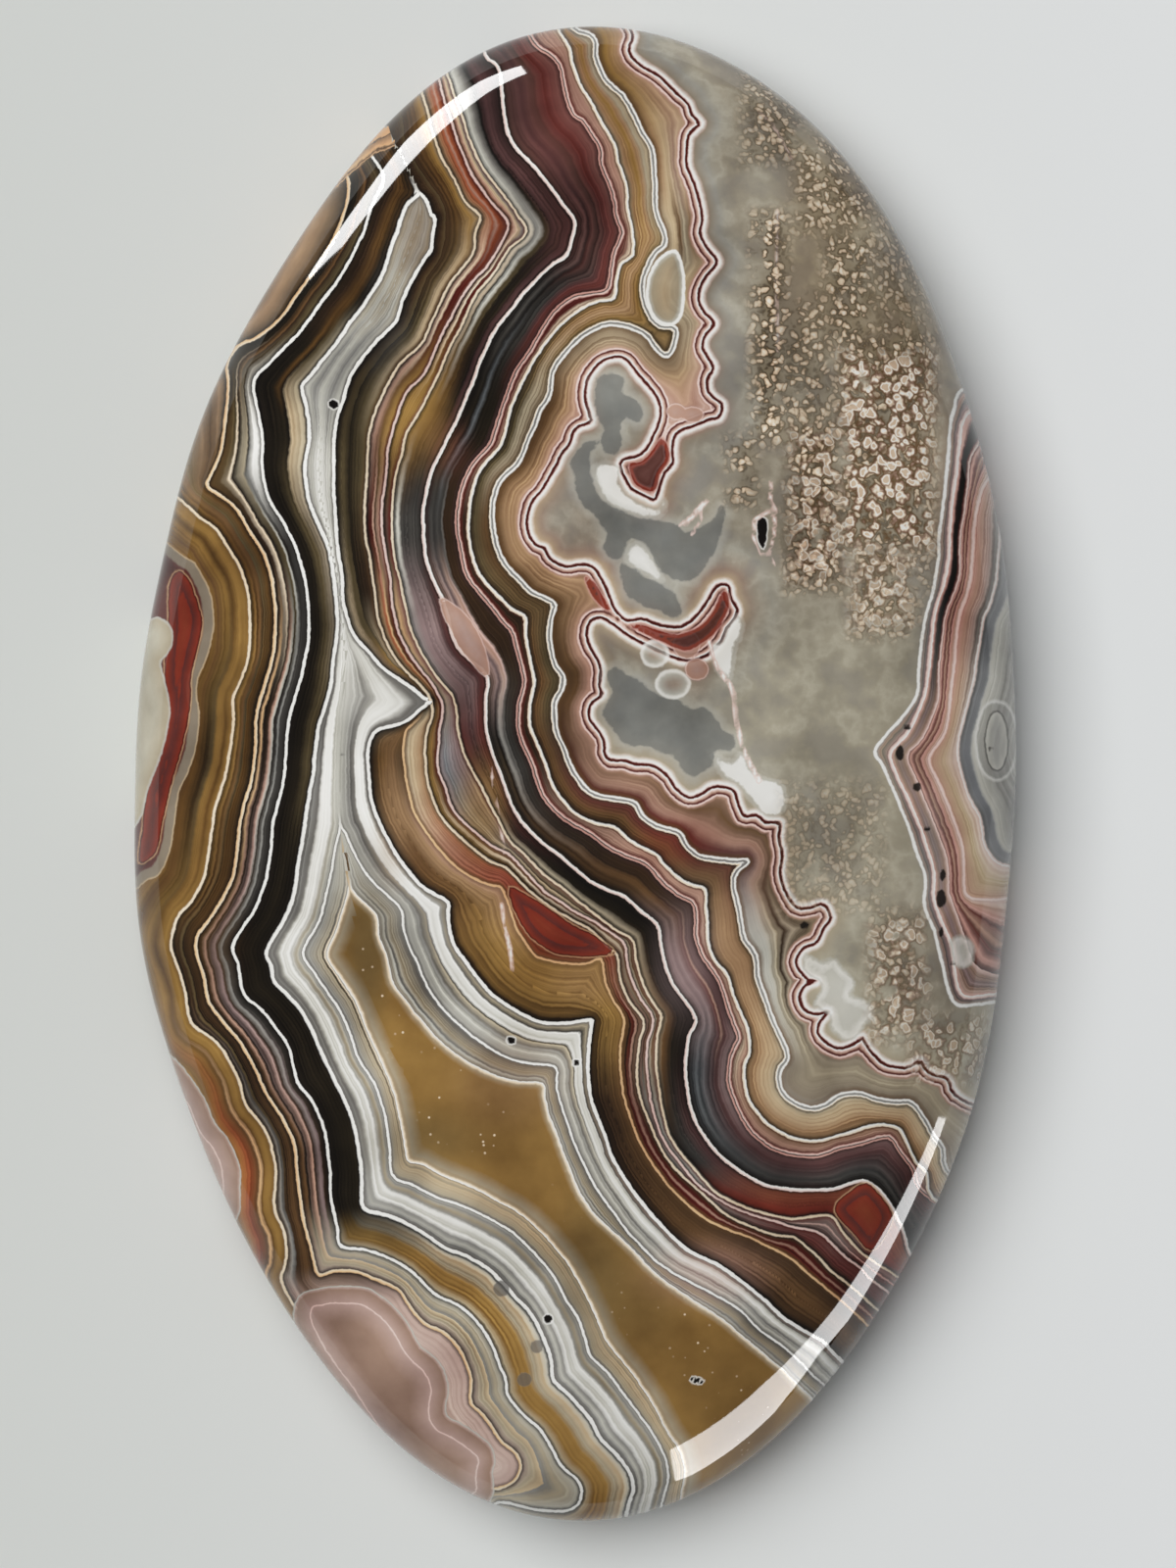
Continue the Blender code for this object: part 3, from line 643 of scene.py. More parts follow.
# Drawn on each line, by the distance from it in mm: where, colour, how much of it shows.
lineColours = {
    "a3": "-.08 greyWhite 0, -.03 cream 1, .04 cream 1, .08 black .7, .2 black 0",
    "a2": "-.2 black 0, -.08 black .6, -.04 creamOrange 1, .05 cream 1, .09 black .8, .22 black 0",
    "a1": "-.2 black 0, -.07 black .8, -.04 white 1, .05 white 1, .08 black .8, .2 black 0",
    "sl": "-.2 black 0, -.1 black .9, -.05 white 1, .06 white 1, .09 midGrey .8, .2 midGrey 0",
    "pl": "-.1 darkGrey 0, -.05 darkGrey .6, -.03 white 1, .05 white 1, .08 midGrey .6, .2 grey 0",
    "ql": "-.09 black 0, -.06 black .4, -.03 white 1, .05 cream 1, .12 palTan .5, .3 honey 0",
    "qr": "-.3 honey 0, -.12 beige .5, -.05 cream 1, .04 white 1, .07 midGrey .6, .2 grey 0",
    "pr": "-.1 grey 0, -.05 darkGrey .6, -.03 white 1, .04 white 1, .08 midGrey .6, .2 grey 0",
    "sr": "-.2 midGrey 0, -.1 midGrey .8, -.07 white 1, .04 white 1, .07 black 1, .2 black .6, .4 black 0",
    "c0": "-.2 brown 0, -.06 brown .5, -.03 creamOrange .9, .03 creamOrange .9, .07 brown .8, .2 brown 0",
    "b0": "-.2 brown 0, -.07 darkBrown .8, -.03 cream .9, .02 cream .9, .07 black .9, .25 black 0",
    "b2": "-.2 darkRed 0, -.07 darkRed .8, -.03 palePink .9, .02 palePink .9, .07 black .9, .2 black 0",
    "b3": "-.2 darkRed 0, -.07 darkRed .8, -.03 cream .9, .02 cream .9, .07 black .9, .2 black 0",
    "b4": "-.2 black 0, -.09 black .7, -.05 palePink 1, .05 white 1, .09 black .8, .25 black 0",
    "m": "-.3 plum 0, -.14 black .8, -.11 pink .9, -.07 pink .9, -.03 black 1, .02 palePink 1, .06 pink .9, "
         ".1 darkRed .9, .25 maroon 0",
    "b5": "-.15 brown 0, -.08 darkRed .7, -.04 cream 1, .05 white 1, .1 black .8, .25 black 0",
    "w2": "-.25 olive 0, -.13 black .7, -.1 cream 1, -.05 white 1, -.02 grey .9, .03 grey .9, .06 white 1, "
          ".11 white 1, .16 brown .7, .35 brown 0",
    "lace": "-.5 pinkTan 0, -.42 pinkTan .8, -.37 palePink 1, -.33 palePink 1, -.3 maroon 1, -.26 maroon 1, "
            "-.21 pinkTan 1, -.14 palePink 1, -.09 white 1, -.05 darkRed 1, .03 darkRed 1, .07 palePink 1, "
            ".11 white 1, .17 white .8, .32 palePink 0",
    "f1": "-.1 grey 0, -.04 white 1, .05 white 1, .1 grey .6, .2 grey 0",
    "f2": "-.12 plum .5, -.04 palePink 1, .06 white 1, .1 pink .6, .2 pink 0",
    "f3": "-.05 maroon 0, -.02 palePink .9, .03 palePink .9, .06 maroon 0",
    "f5": "-.1 maroon 0, -.03 palePink 1, .04 palePink 1, .1 pink 0",
    "f6": "-.1 pink 0, -.03 white .9, .04 palePink .9, .1 grey 0",
}
lineWidth = 0.82    # lines are drawn narrower than their distances say, by this factor
# Patches with a ragged, lobed edge.
ragged = ("greyCell", "palePatch", "veil", "tanCap")
# A line that only shows below this height of the photograph.
drawnBelow = {"sl": 188, "sr": 188, "c0": 735, "pl": 838, "pr": 838, "ql": 900, "qr": 900}
# Which patches each zone of the face holds.
patchZones = {
    "left": ("tanCap", "eyeRim", "redFill", "paleLobe", "nodule", "greySpot", "blackPit"),
    "heart": ("greySpot", "blackPit", "paleVeinAndGlint"),
    "inner": ("redFill", "pinkSpot", "blackPit", "paleVeinAndGlint"),
    "outer": ("redFill", "palePatch", "veil", "greyCell", "scallop", "pinkSpot", "pocket", "paleCell",
              "darkSpot", "blackPit", "paleVeinAndGlint"),
    "corner": ("palePatch", "innerEye", "darkSpot"),
}
# Drawn over each patch, by the distance inwards from its edge in mm.
patchColours = {
    "eyeRim": "-.06 palTan 0, -.02 palTan .9, .03 taupe 1, .28 taupe 1, .34 maroon 1, .5 darkRed 1, "
              "2 maroon 1",
    "redFill": "-.1 darkRed 0, -.03 creamOrange .6, 0 darkRed .9, .06 red .9, .3 maroon .9, .36 red .9, "
               "1 orangeRed .8",
    "nodule": "-.06 grey 0, -.02 greyWhite 1, .04 mauvePink .8, .1 rose 1, .52 mauvePink 1, .55 palePink 1, "
              ".6 mauvePink 1, 1.2 rose 1, 2 rose 1",
    "paleLobe": "-.04 grey 0, 0 greyWhite .9, .08 beige 1, .5 paleGreen 1, 2 beige 1",
    "darkSpot": "-.03 black 0, .02 black .95, .2 black .95",
    "palePatch": "-.08 greyWhite 0, .02 greyWhite .75, .1 white .6, .3 greyWhite .8",
    "pinkSpot": "-.06 maroon 0, -.01 palePink .6, .04 pinkTan .9, .4 mauvePink .9",
    "tanCap": "-.05 brown 0, 0 creamOrange .9, .06 brown .9, .12 creamOrange 1, .35 tan 1, .38 brown 1, "
              ".43 creamOrange 1, .8 creamOrange 1",
    "greyCell": "-.3 greyWhite 0, -.08 greyWhite .35, -.02 greyWhite .4, .06 slate .75, .5 slate .85",
    "veil": "-.14 white 0, 0 greyWhite .55, .08 white .85, .5 white .9",
    "scallop": "-.08 white 0, -.02 white .7, .03 white .7, .12 greyWhite .6, .45 rose .5",
    "innerEye": "-.4 white 0, -.3 white .6, -.22 grey .5, -.06 grey .5, 0 darkGrey .8, .05 greyWhite .8, "
                ".3 grey .6",
    "greySpot": "-.05 grey 0, 0 midGrey .7, .1 midGrey .7",
    "pocket": "-.06 pink 0, 0 pink .7, .04 red .9, .12 red .9, .16 maroon .9, .22 darkRed .9, .4 maroon .9",
    "paleCell": "-.06 white 0, -.02 white 1, .05 white 1, .1 greyWhite .8, .2 beige .8, .6 palTan .7",
    "blackPit": "-.08 white 0, -.03 white .8, .01 black 1, .1 black 1",
    # The pale vein lines and the painted glints share this colour.
    "paleVeinAndGlint": "-.06 palePink 0, -.02 palePink .7, .02 white .9, .1 white .9",
}
# Soft clouds of colour over the bands: x, y, radius across, radius up, colour, strength.
clouds = [
    (430, 240, 30, 60, "brown", 0.5), (395, 330, 22, 60, "midGrey", 0.3), (330, 110, 90, 60, "tan", 0.3),
    (375, 965, 24, 80, "olive", 0.55), (430, 1165, 60, 34, "olive", 0.45), (520, 1105, 56, 44, "tan", 0.35),
    (600, 1290, 36, 80, "olive", 0.4), (402, 835, 18, 60, "tan", 0.45), (492, 825, 24, 50, "honey", 0.6),
    (455, 455, 22, 30, "maroon", 0.45), (430, 430, 30, 50, "honey", 0.4), (570, 110, 40, 80, "maroon", 0.45),
    (600, 240, 40, 60, "maroon", 0.3), (690, 860, 40, 25, "red", 0.35), (720, 1300, 60, 30, "pink", 0.3),
    (700, 980, 30, 60, "mauve", 0.4), (830, 1230, 40, 18, "darkRed", 0.5), (870, 1262, 26, 18, "grey", 0.4),
    (520, 1180, 60, 60, "honeyDark", 0.25), (640, 1330, 60, 60, "olive", 0.3),
    (740, 1420, 70, 60, "honeyDark", 0.35), (600, 1000, 40, 25, "tan", 0.4),
    (230, 1210, 25, 60, "orangeRed", 0.35), (180, 520, 30, 30, "honey", 0.3), (840, 300, 60, 60, "moss", 0.5),
    (910, 320, 45, 50, "moss", 0.6), (840, 180, 60, 60, "moss", 0.3), (830, 720, 90, 130, "greyGreen", 0.4),
    (950, 1000, 30, 60, "plum", 0.4), (925, 960, 14, 60, "plum", 0.5), (905, 335, 50, 44, "mossGold", 0.95),
    (828, 285, 34, 70, "mossGold", 0.85), (860, 190, 56, 60, "mossGold", 0.8),
    (948, 450, 20, 110, "rose", 0.5), (942, 610, 16, 80, "grey", 0.5), (950, 870, 14, 60, "grey", 0.4),
    (215, 900, 30, 130, "honeyDark", 0.45), (900, 800, 30, 120, "beige", 0.3),
    (596, 535, 22, 45, "rose", 0.5), (710, 682, 16, 30, "pinkTan", 0.5), (745, 400, 22, 120, "grey", 0.4),
    (780, 170, 26, 40, "greyWhite", 0.35), (880, 200, 60, 50, "honey", 0.25),
]


def pairs(flat):
    return np.array(flat, float).reshape(-1, 2)


def toMm(points):
    scale = view["pixelsPerMm"]
    return np.stack([(points[:, 0] - view["centreX"]) / scale, (view["centreY"] - points[:, 1]) / scale], 1)


def catmull(points, steps, closed):
    if closed:
        p0, p1, p2, p3 = (np.roll(points, s, 0) for s in (1, 0, -1, -2))
    else:
        ends = np.vstack([2 * points[0] - points[1], points, 2 * points[-1] - points[-2]])
        p0, p1, p2, p3 = ends[:-3], ends[1:-2], ends[2:-1], ends[3:]
    t = (np.arange(steps) / steps)[None, :, None]
    p0, p1, p2, p3 = (p[:, None, :] for p in (p0, p1, p2, p3))
    run = 0.5 * (2 * p1 + (p2 - p0) * t + (2 * p0 - 5 * p1 + 4 * p2 - p3) * t**2
                 + (3 * p1 - p0 - 3 * p2 + p3) * t**3)
    run = run.reshape(-1, 2)
    return run if closed else np.vstack([run, points[-1:]])


# Millimetres from each place to a line, counted positive on the line's right as it runs down.
def sideDistance(places, points):
    out = np.empty(len(places), np.float32)
    fine = catmull(points, 3, False).astype(np.float32)
    start, end = fine[:-1], fine[1:]
    run = end - start
    lengthSq = np.maximum((run**2).sum(1), 1e-12)
    window = np.arange(-5, 6)
    for first in range(0, len(places), 20000):
        p = places[first:first + 20000]
        near = ((p[:, None, :] - points[None, :, :])**2).sum(2).argmin(1) * 3
        pick = np.clip(near[:, None] + window, 0, len(run) - 1)
        away = p[:, None, :] - start[pick]
        t = np.clip((away * run[pick]).sum(2) / lengthSq[pick], 0, 1)
        gap = away - run[pick] * t[:, :, None]
        distSq = (gap**2).sum(2)
        side = run[pick][:, :, 0] * away[:, :, 1] - run[pick][:, :, 1] * away[:, :, 0]
        # At a corner two pieces are equally near: the one that is met more squarely decides the side.
        best = (distSq * 1.0001 - 1e-3 * side**2 / lengthSq[pick] * 0.1).argmin(1)
        row = np.arange(len(p))
        out[first:first + 20000] = np.sqrt(distSq[row, best]) * np.sign(side[row, best])
    return out


farOutside = -3.0    # stands for every place well away from a patch or vein


# Millimetres inside a closed patch, negative outside.
def patchDistance(places, points):
    fine = catmull(points, 3, True)
    a, b = fine, np.roll(fine, -1, 0)
    out = np.full(len(places), farOutside, np.float32)
    low, high = fine.min(0) - 1.0, fine.max(0) + 1.0
    close = np.nonzero(((places > low) & (places < high)).all(1))[0]
    p = places[close]
    run = b - a
    away = p[:, None, :] - a[None]
    t = np.clip((away * run).sum(2) / np.maximum((run**2).sum(1), 1e-12), 0, 1)
    dist = np.sqrt(((away - run * t[:, :, None])**2).sum(2).min(1))
    above = (a[:, 1] > p[:, 1:2]) != (b[:, 1] > p[:, 1:2])
    cross = a[:, 0] + (p[:, 1:2] - a[:, 1]) * run[:, 0] / np.where(run[:, 1] == 0, 1e-9, run[:, 1])
    inside = (above & (p[:, :1] < cross)).sum(1) % 2 == 1
    out[close] = np.where(inside, dist, -dist)
    return out


# Millimetres from a thin stroke, on either side of it; the strokes are pale vein lines and painted glints.
def strokeDistance(places, points):
    best = np.full(len(places), 9.0)
    for start, step in zip(points[:-1], points[1:] - points[:-1]):
        away = places - start
        t = np.clip((away @ step) / max(step @ step, 1e-12), 0, 1)
        best = np.minimum(best, np.hypot(*(away - t[:, None] * step).T))
    return best


def smoothRim():
    ring = catmull(np.array(outlineMm) / 1000, 24, True)
    angle, radius = np.arctan2(ring[:, 1], ring[:, 0]), np.hypot(ring[:, 0], ring[:, 1])
    order = np.argsort(angle)
    turn = np.arange(960) / 960 * 2 * np.pi
    radius = np.interp(turn, angle[order], radius[order], period=2 * np.pi)
    wave = np.fft.rfft(radius)
    wave[stone["waves"] + 1:] = 0
    radius = np.fft.irfft(wave, 960)
    rim = np.stack([radius * np.cos(turn), radius * np.sin(turn)], 1)
    low, high = rim.min(0), rim.max(0)
    return ((rim - low) / (high - low) - 0.5) * (stone["width"], stone["length"])


rim = smoothRim()
rimAngle = np.unwrap(np.arctan2(rim[:, 1], rim[:, 0]))
rimRadius = np.hypot(rim[:, 0], rim[:, 1])


# A grid of square cells bent into a disc: its corners go to the rim's diagonals.
def discGrid(across, along):
    u, v = np.meshgrid(np.linspace(-1, 1, across + 1), np.linspace(-1, 1, along + 1))
    u, v = u.ravel(), v.ravel()
    sideways = np.abs(u) >= np.abs(v)
    reach = np.where(sideways, np.abs(u), np.abs(v))
    safeU, safeV = np.where(u == 0, 1e-9, u), np.where(v == 0, 1e-9, v)
    angle = np.where(sideways, np.pi / 4 * v / safeU + np.where(u < 0, np.pi, 0),
                     np.pi / 2 - np.pi / 4 * u / safeV + np.where(v < 0, np.pi, 0))
    steer = np.arctan2(stone["length"] * np.sin(angle), stone["width"] * np.cos(angle))
    radius = np.interp(steer, rimAngle, rimRadius, period=2 * np.pi)
    unit = np.stack([np.cos(steer), np.sin(steer)], 1) * radius[:, None]
    row = across + 1
    loop = [i for i in range(across)] + [across + j * row for j in range(along)]
    loop += [along * row + across - i for i in range(across)] + [(along - j) * row for j in range(along)]
    cells = []
    for j in range(along):
        for i in range(across):
            k = j * row + i
            cells.append((k, k + 1, k + 1 + row, k + row))
    return unit, reach, loop, cells


def stoneBase():
    unit, reach, loop, cells = discGrid(stone["cellsAcross"], stone["cellsAlong"])
    flat = [unit * (reach * stone["gridReach"])[:, None]]
    reaches, turns = [reach * stone["gridReach"]], [np.zeros(len(reach))]
    faces = list(cells)
    edge = unit[loop]
    count = len(loop)
    total = len(reach)
    last = list(loop)
    lowest = math.asin(stone["gridReach"] ** (stone["crownPower"] / 2))
    rows = []
    for ring in range(1, stone["crownRings"] + 1):
        polar = lowest + (math.pi / 2 - lowest) * ring / stone["crownRings"]
        rows.append((math.sin(polar) ** (2 / stone["crownPower"]), 0.0))
    for ring in range(stone["footRings"] + 1):
        rows.append((1.0, 1.0 + ring / stone["footRings"]))
    for ringReach, turn in rows:
        flat.append(edge * ringReach)
        reaches.append(np.full(count, ringReach))
        turns.append(np.full(count, turn))
        fresh = list(range(total, total + count))
        for k in range(count):
            n = (k + 1) % count
            faces.append((last[k], fresh[k], fresh[n], last[n]))
        last, total = fresh, total + count
    # The flat back is a coarser grid, joined on by one ring of wider faces.
    backUnit, backReach, backLoop, backCells = discGrid(stone["cellsAcross"] // 2, stone["cellsAlong"] // 2)
    flat.append(backUnit * (backReach * stone["backGrid"])[:, None])
    reaches.append(backReach * stone["backGrid"])
    turns.append(np.full(len(backReach), 3.0))
    faces += [tuple(total + k for k in reversed(cell)) for cell in backCells]
    inner = [total + k for k in backLoop]
    for k in range(len(inner)):
        n = (k + 1) % len(inner)
        faces.append((last[2 * k], inner[k], inner[n], last[(2 * k + 2) % count], last[2 * k + 1]))
    base = bpy.data.meshes.new("stone_base")
    points = np.vstack(flat)
    base.from_pydata(np.column_stack([points, np.zeros(len(points))]).tolist(), [], faces)
    for name, values in (("reach", np.concatenate(reaches)), ("turn", np.concatenate(turns))):
        base.attributes.new(name, "FLOAT", "POINT").data.foreach_set("value", values.astype(np.float32))
    return base


# The rule of the shape: a flattened dome on a short wall with a rounded foot.
def domeTree(material):
    tree = bpy.data.node_groups.new("cabochon_dome", "GeometryNodeTree")
    face = tree.interface
    face.new_socket("Geometry", in_out="INPUT", socket_type="NodeSocketGeometry")
    inputs = {"Thickness": stone["thickness"], "Girdle Height": stone["girdleHeight"],
              "Wall Foot": stone["wallFoot"], "Back Inset": stone["backInset"],
              "Crown Power": stone["crownPower"]}
    for name, value in inputs.items():
        face.new_socket(name, in_out="INPUT", socket_type="NodeSocketFloat").default_value = value
    face.new_socket("Geometry", in_out="OUTPUT", socket_type="NodeSocketGeometry")
    nodes, links = tree.nodes, tree.links
    source, sink = nodes.new("NodeGroupInput"), nodes.new("NodeGroupOutput")

    def calc(kind, first, second=0.0, third=0.0):
        node = nodes.new("ShaderNodeMath")
        node.operation = kind
        for slot, value in enumerate((first, second, third)):
            if isinstance(value, (int, float)):
                node.inputs[slot].default_value = value
            else:
                links.new(value, node.inputs[slot])
        return node.outputs[0]

    def named(name):
        node = nodes.new("GeometryNodeInputNamedAttribute")
        node.data_type = "FLOAT"
        node.inputs["Name"].default_value = name
        return node.outputs["Attribute"]

    reach, turn = named("reach"), named("turn")
    power = source.outputs["Crown Power"]
    below = calc("MAXIMUM", calc("SUBTRACT", 1.0, calc("POWER", reach, power)), 0.0)
    crown = calc("POWER", below, calc("DIVIDE", 1.0, power))
    rise = calc("SUBTRACT", source.outputs["Thickness"], source.outputs["Girdle Height"])
    crownZ = calc("MULTIPLY_ADD", rise, crown, source.outputs["Girdle Height"])
    onFoot = calc("GREATER_THAN", turn, 0.5)
    share = calc("MINIMUM", calc("MAXIMUM", calc("SUBTRACT", turn, 1.0), 0.0), 1.0)
    bend = calc("MULTIPLY", share, math.pi / 2)
    footZ = calc("MULTIPLY", source.outputs["Wall Foot"], calc("SUBTRACT", 1.0, calc("SINE", bend)))
    inset = calc("MULTIPLY", source.outputs["Back Inset"], calc("SUBTRACT", 1.0, calc("COSINE", bend)))
    place = nodes.new("GeometryNodeInputPosition").outputs[0]
    size = nodes.new("ShaderNodeVectorMath")
    size.operation = "LENGTH"
    links.new(place, size.inputs[0])
    rimSize = calc("DIVIDE", calc("MAXIMUM", size.outputs["Value"], 1e-6), calc("MAXIMUM", reach, 1e-4))
    shrink = calc("DIVIDE", calc("SUBTRACT", rimSize, calc("MULTIPLY", inset, onFoot)), rimSize)
    onCrown = calc("SUBTRACT", 1.0, onFoot)
    height = calc("ADD", calc("MULTIPLY", footZ, onFoot), calc("MULTIPLY", crownZ, onCrown))
    scaled = nodes.new("ShaderNodeVectorMath")
    scaled.operation = "SCALE"
    links.new(place, scaled.inputs[0])
    links.new(calc("MULTIPLY", shrink, stone["fit"]), scaled.inputs["Scale"])
    split = nodes.new("ShaderNodeSeparateXYZ")
    links.new(scaled.outputs[0], split.inputs[0])
    joined = nodes.new("ShaderNodeCombineXYZ")
    links.new(split.outputs[0], joined.inputs[0])
    links.new(split.outputs[1], joined.inputs[1])
    links.new(calc("MULTIPLY", height, stone["fit"]), joined.inputs[2])
    setPlace = nodes.new("GeometryNodeSetPosition")
    links.new(source.outputs["Geometry"], setPlace.inputs["Geometry"])
    links.new(joined.outputs[0], setPlace.inputs["Position"])
    real = nodes.new("GeometryNodeRealizeInstances")
    links.new(setPlace.outputs[0], real.inputs[0])
    paint = nodes.new("GeometryNodeSetMaterial")
    paint.inputs["Material"].default_value = material
    links.new(real.outputs[0], paint.inputs["Geometry"])
    links.new(paint.outputs[0], sink.inputs[0])
    return tree


def linear(name):
    screen = np.array(tints[name]) / 255
    value = np.where(screen <= 0.04045, screen / 12.92, ((screen + 0.055) / 1.055) ** 2.4)
    return (*[float(v) for v in value], 1.0)


# Small builder for the shader: each call adds a node and hands back its output.
class Paint:
    def __init__(self, tree):
        self.tree = tree
        self.nodes = tree.nodes
        self.links = tree.links
        self.known = {}
        self.given = {}
        self.shift = None

    def feed(self, socket, value):
        if isinstance(value, (int, float, tuple)):
            socket.default_value = value
        else:
            self.links.new(value, socket)

    def calc(self, kind, first, second=0.0):
        node = self.nodes.new("ShaderNodeMath")
        node.operation = kind
        self.feed(node.inputs[0], first)
        self.feed(node.inputs[1], second)
        return node.outputs[0]

    def read(self, name, moved=True):
        if (name, moved) not in self.known:
            node = self.nodes.new("ShaderNodeAttribute")
            node.attribute_name = name
            value = node.outputs["Fac"]
            if moved and self.shift is not None:
                value = self.calc("ADD", value, self.shift)
            self.known[(name, moved)] = value
        return self.known[(name, moved)]

    def ramp(self, value, stops):
        node = self.nodes.new("ShaderNodeValToRGB")
        elements = node.color_ramp.elements
        for index, (place, tint, shown) in enumerate(stops):
            if index < 2:
                element = elements[index]
                element.position = place
            else:
                element = elements.new(place)
            element.color = (*linear(tint)[:3], shown)
        self.feed(node.inputs[0], value)
        return node.outputs["Color"], node.outputs["Alpha"]

    def mix(self, amount, first, second, kind="MIX"):
        node = self.nodes.new("ShaderNodeMix")
        node.data_type = "RGBA"
        node.blend_type = kind
        node.clamp_factor = True
        self.feed(node.inputs["Factor"], amount)
        self.feed([n for n in node.inputs if n.identifier == "A_Color"][0], first)
        self.feed([n for n in node.inputs if n.identifier == "B_Color"][0], second)
        return [n for n in node.outputs if n.identifier == "Result_Color"][0]

    def spread(self, value, low, high, smooth=False):
        node = self.nodes.new("ShaderNodeMapRange")
        node.interpolation_type = "SMOOTHSTEP" if smooth else "LINEAR"
        self.feed(node.inputs["Value"], value)
        node.inputs["From Min"].default_value = low
        node.inputs["From Max"].default_value = high
        return node.outputs["Result"]

    def noise(self, scale, detail=2.0, where=None, flat=False):
        node = self.nodes.new("ShaderNodeTexNoise")
        node.noise_dimensions = "1D" if flat else "3D"
        node.inputs["Scale"].default_value = scale
        node.inputs["Detail"].default_value = detail
        if where is not None:
            self.links.new(where, node.inputs["W" if flat else "Vector"])
        return node.outputs["Fac"]


def newPaint(name):
    material = bpy.data.materials.new(name)
    material.use_nodes = True
    material.node_tree.nodes.clear()
    return material, Paint(material.node_tree)


# A part of the shader in a group of its own: build() fills it and hands back its outputs.
def grouped(paint, name, inputs, outputs, build):
    tree = bpy.data.node_groups.new(name, "ShaderNodeTree")
    kinds = {"colour": "NodeSocketColor"}
    for key in inputs:
        tree.interface.new_socket(key, in_out="INPUT", socket_type=kinds.get(key, "NodeSocketFloat"))
    for key in outputs:
        tree.interface.new_socket(key, in_out="OUTPUT", socket_type=kinds.get(key, "NodeSocketFloat"))
    inner = Paint(tree)
    source = inner.nodes.new("NodeGroupInput")
    inner.given = {key: source.outputs[key] for key in inputs}
    inner.shift = inner.given["shift"]
    results = build(inner)
    sink = inner.nodes.new("NodeGroupOutput")
    for key, value in zip(outputs, results):
        inner.links.new(value, sink.inputs[key])
    node = paint.nodes.new("ShaderNodeGroup")
    node.node_tree = tree
    for key, value in inputs.items():
        paint.feed(node.inputs[key], value)
    return [node.outputs[key] for key in outputs]


def gapStops(text):
    stops = []
    for part in text.split(","):
        place, tint = part.split()
        stops.append((float(place), tint, 1.0))
    return stops


def lineStops(text):
    marks = [part.split() for part in text.split(",")]
    low, high = float(marks[0][0]), float(marks[-1][0])
    return low, high, [((float(a) - low) / (high - low), tint, float(shown)) for a, tint, shown in marks]


def gapColour(paint, before, after, stations):
    if before and after:
        near, far = paint.read(before), paint.read(after)
        across = paint.calc("DIVIDE", near, paint.calc("MAXIMUM", paint.calc("SUBTRACT", near, far), 0.001))
    elif before:
        across = paint.calc("DIVIDE", paint.read(before), 2.0)
    else:
        across = paint.calc("DIVIDE", paint.read(after), -2.5)
    result = paint.ramp(across, gapStops(stations[0][1]))[0]
    for (above, _), (below, text) in zip(stations, stations[1:]):
        top = (view["centreY"] - above) / view["pixelsPerMm"]
        bottom = (view["centreY"] - below) / view["pixelsPerMm"]
        amount = paint.spread(paint.read("along", False), top, bottom, True)
        result = paint.mix(amount, result, paint.ramp(across, gapStops(text))[0])
    return result, across


def lineOver(paint, name, text, within):
    low, high, stops = lineStops(text)
    if within:
        low, high = low * lineWidth, high * lineWidth
    away = paint.read(name)
    tint, shown = paint.ramp(paint.spread(away, low, high), stops)
    amount = paint.calc("MULTIPLY", shown, paint.calc("GREATER_THAN", away, low))
    if name in drawnBelow:
        start = (view["centreY"] - drawnBelow[name]) / view["pixelsPerMm"]
        shown = paint.spread(paint.read("along", False), start + 0.3, start - 0.3)
        amount = paint.calc("MULTIPLY", amount, shown)
    if within:
        amount = paint.calc("MULTIPLY", amount, paint.calc("LESS_THAN", away, high))
    return [paint.mix(amount, paint.given["colour"], tint)]


# Each zone of the face has a shader of its own, with the gaps that it needs, in order.
# Where two zones meet, both hold the gap that they meet in, so that no seam shows.
zones = {
    "left": leftGaps,
    "heart": rightGaps[:4],
    "inner": rightGaps[3:8],
    "outer": rightGaps[7:],
    "corner": rightGaps[-1:] + cornerGaps,
}


# How fine each part of the pattern is (cells or waves per metre), and how strongly it shows.
look = {
    "slowWaver": 900,
    "slowWaverMm": 0.13,
    "quickWaver": 5200,
    "quickWaverMm": 0.06,
    "growthLines": 11.0,    # per band
    "growthShare": 0.8,
    "growthPatches": 240,
    "growthLeast": 0.2,
    "growthChange": 0.65,
    "raggedWaver": 2.6,     # times the waver of the other lines
    "mottle": 800,
    "mottleShare": 0.6,
    "mossClumps": 1100,
    "mossHaze": 0.55,
    "mossGrains": 3900,
    "mossRings": 2500,
    "edgeNoise": 2400,
    "edgeBend": 0.0005,
    "flecks": 3000,
    "fleckPatches": 420,
    "tone": 350,
    "toneShare": 0.6,
    "contrast": 0.22,
    "polishRough": 0.035,
    "groundRough": 0.35,
    "refraction": 1.54,
}
growthStops = [(0.3, "midGrey", 1), (0.7, "white", 1)]
# The growth lines end at one line of each of these zones: hidden at the first distance
# from it in mm, shown at the second.
growthEnds = {
    "left": ("ql", 0.1, -0.1),
    "heart": ("qr", -0.1, 0.1),
    "outer": ("lace", 0.3, -0.1),
    "corner": ("f1", 0.0, 0.1),
}


def cellNoise(paint, scale, where):
    node = paint.nodes.new("ShaderNodeTexVoronoi")
    node.inputs["Scale"].default_value = scale
    paint.links.new(where, node.inputs["Vector"])
    return node.outputs["Distance"]


def bentPlaces(paint, where):
    wobble = paint.nodes.new("ShaderNodeTexNoise")
    wobble.inputs["Scale"].default_value = look["edgeNoise"]
    paint.links.new(where, wobble.inputs["Vector"])
    moved = paint.nodes.new("ShaderNodeVectorMath")
    moved.operation = "MULTIPLY_ADD"
    paint.links.new(wobble.outputs["Color"], moved.inputs[0])
    moved.inputs[1].default_value = (look["edgeBend"],) * 3
    paint.links.new(where, moved.inputs[2])
    return moved.outputs[0]


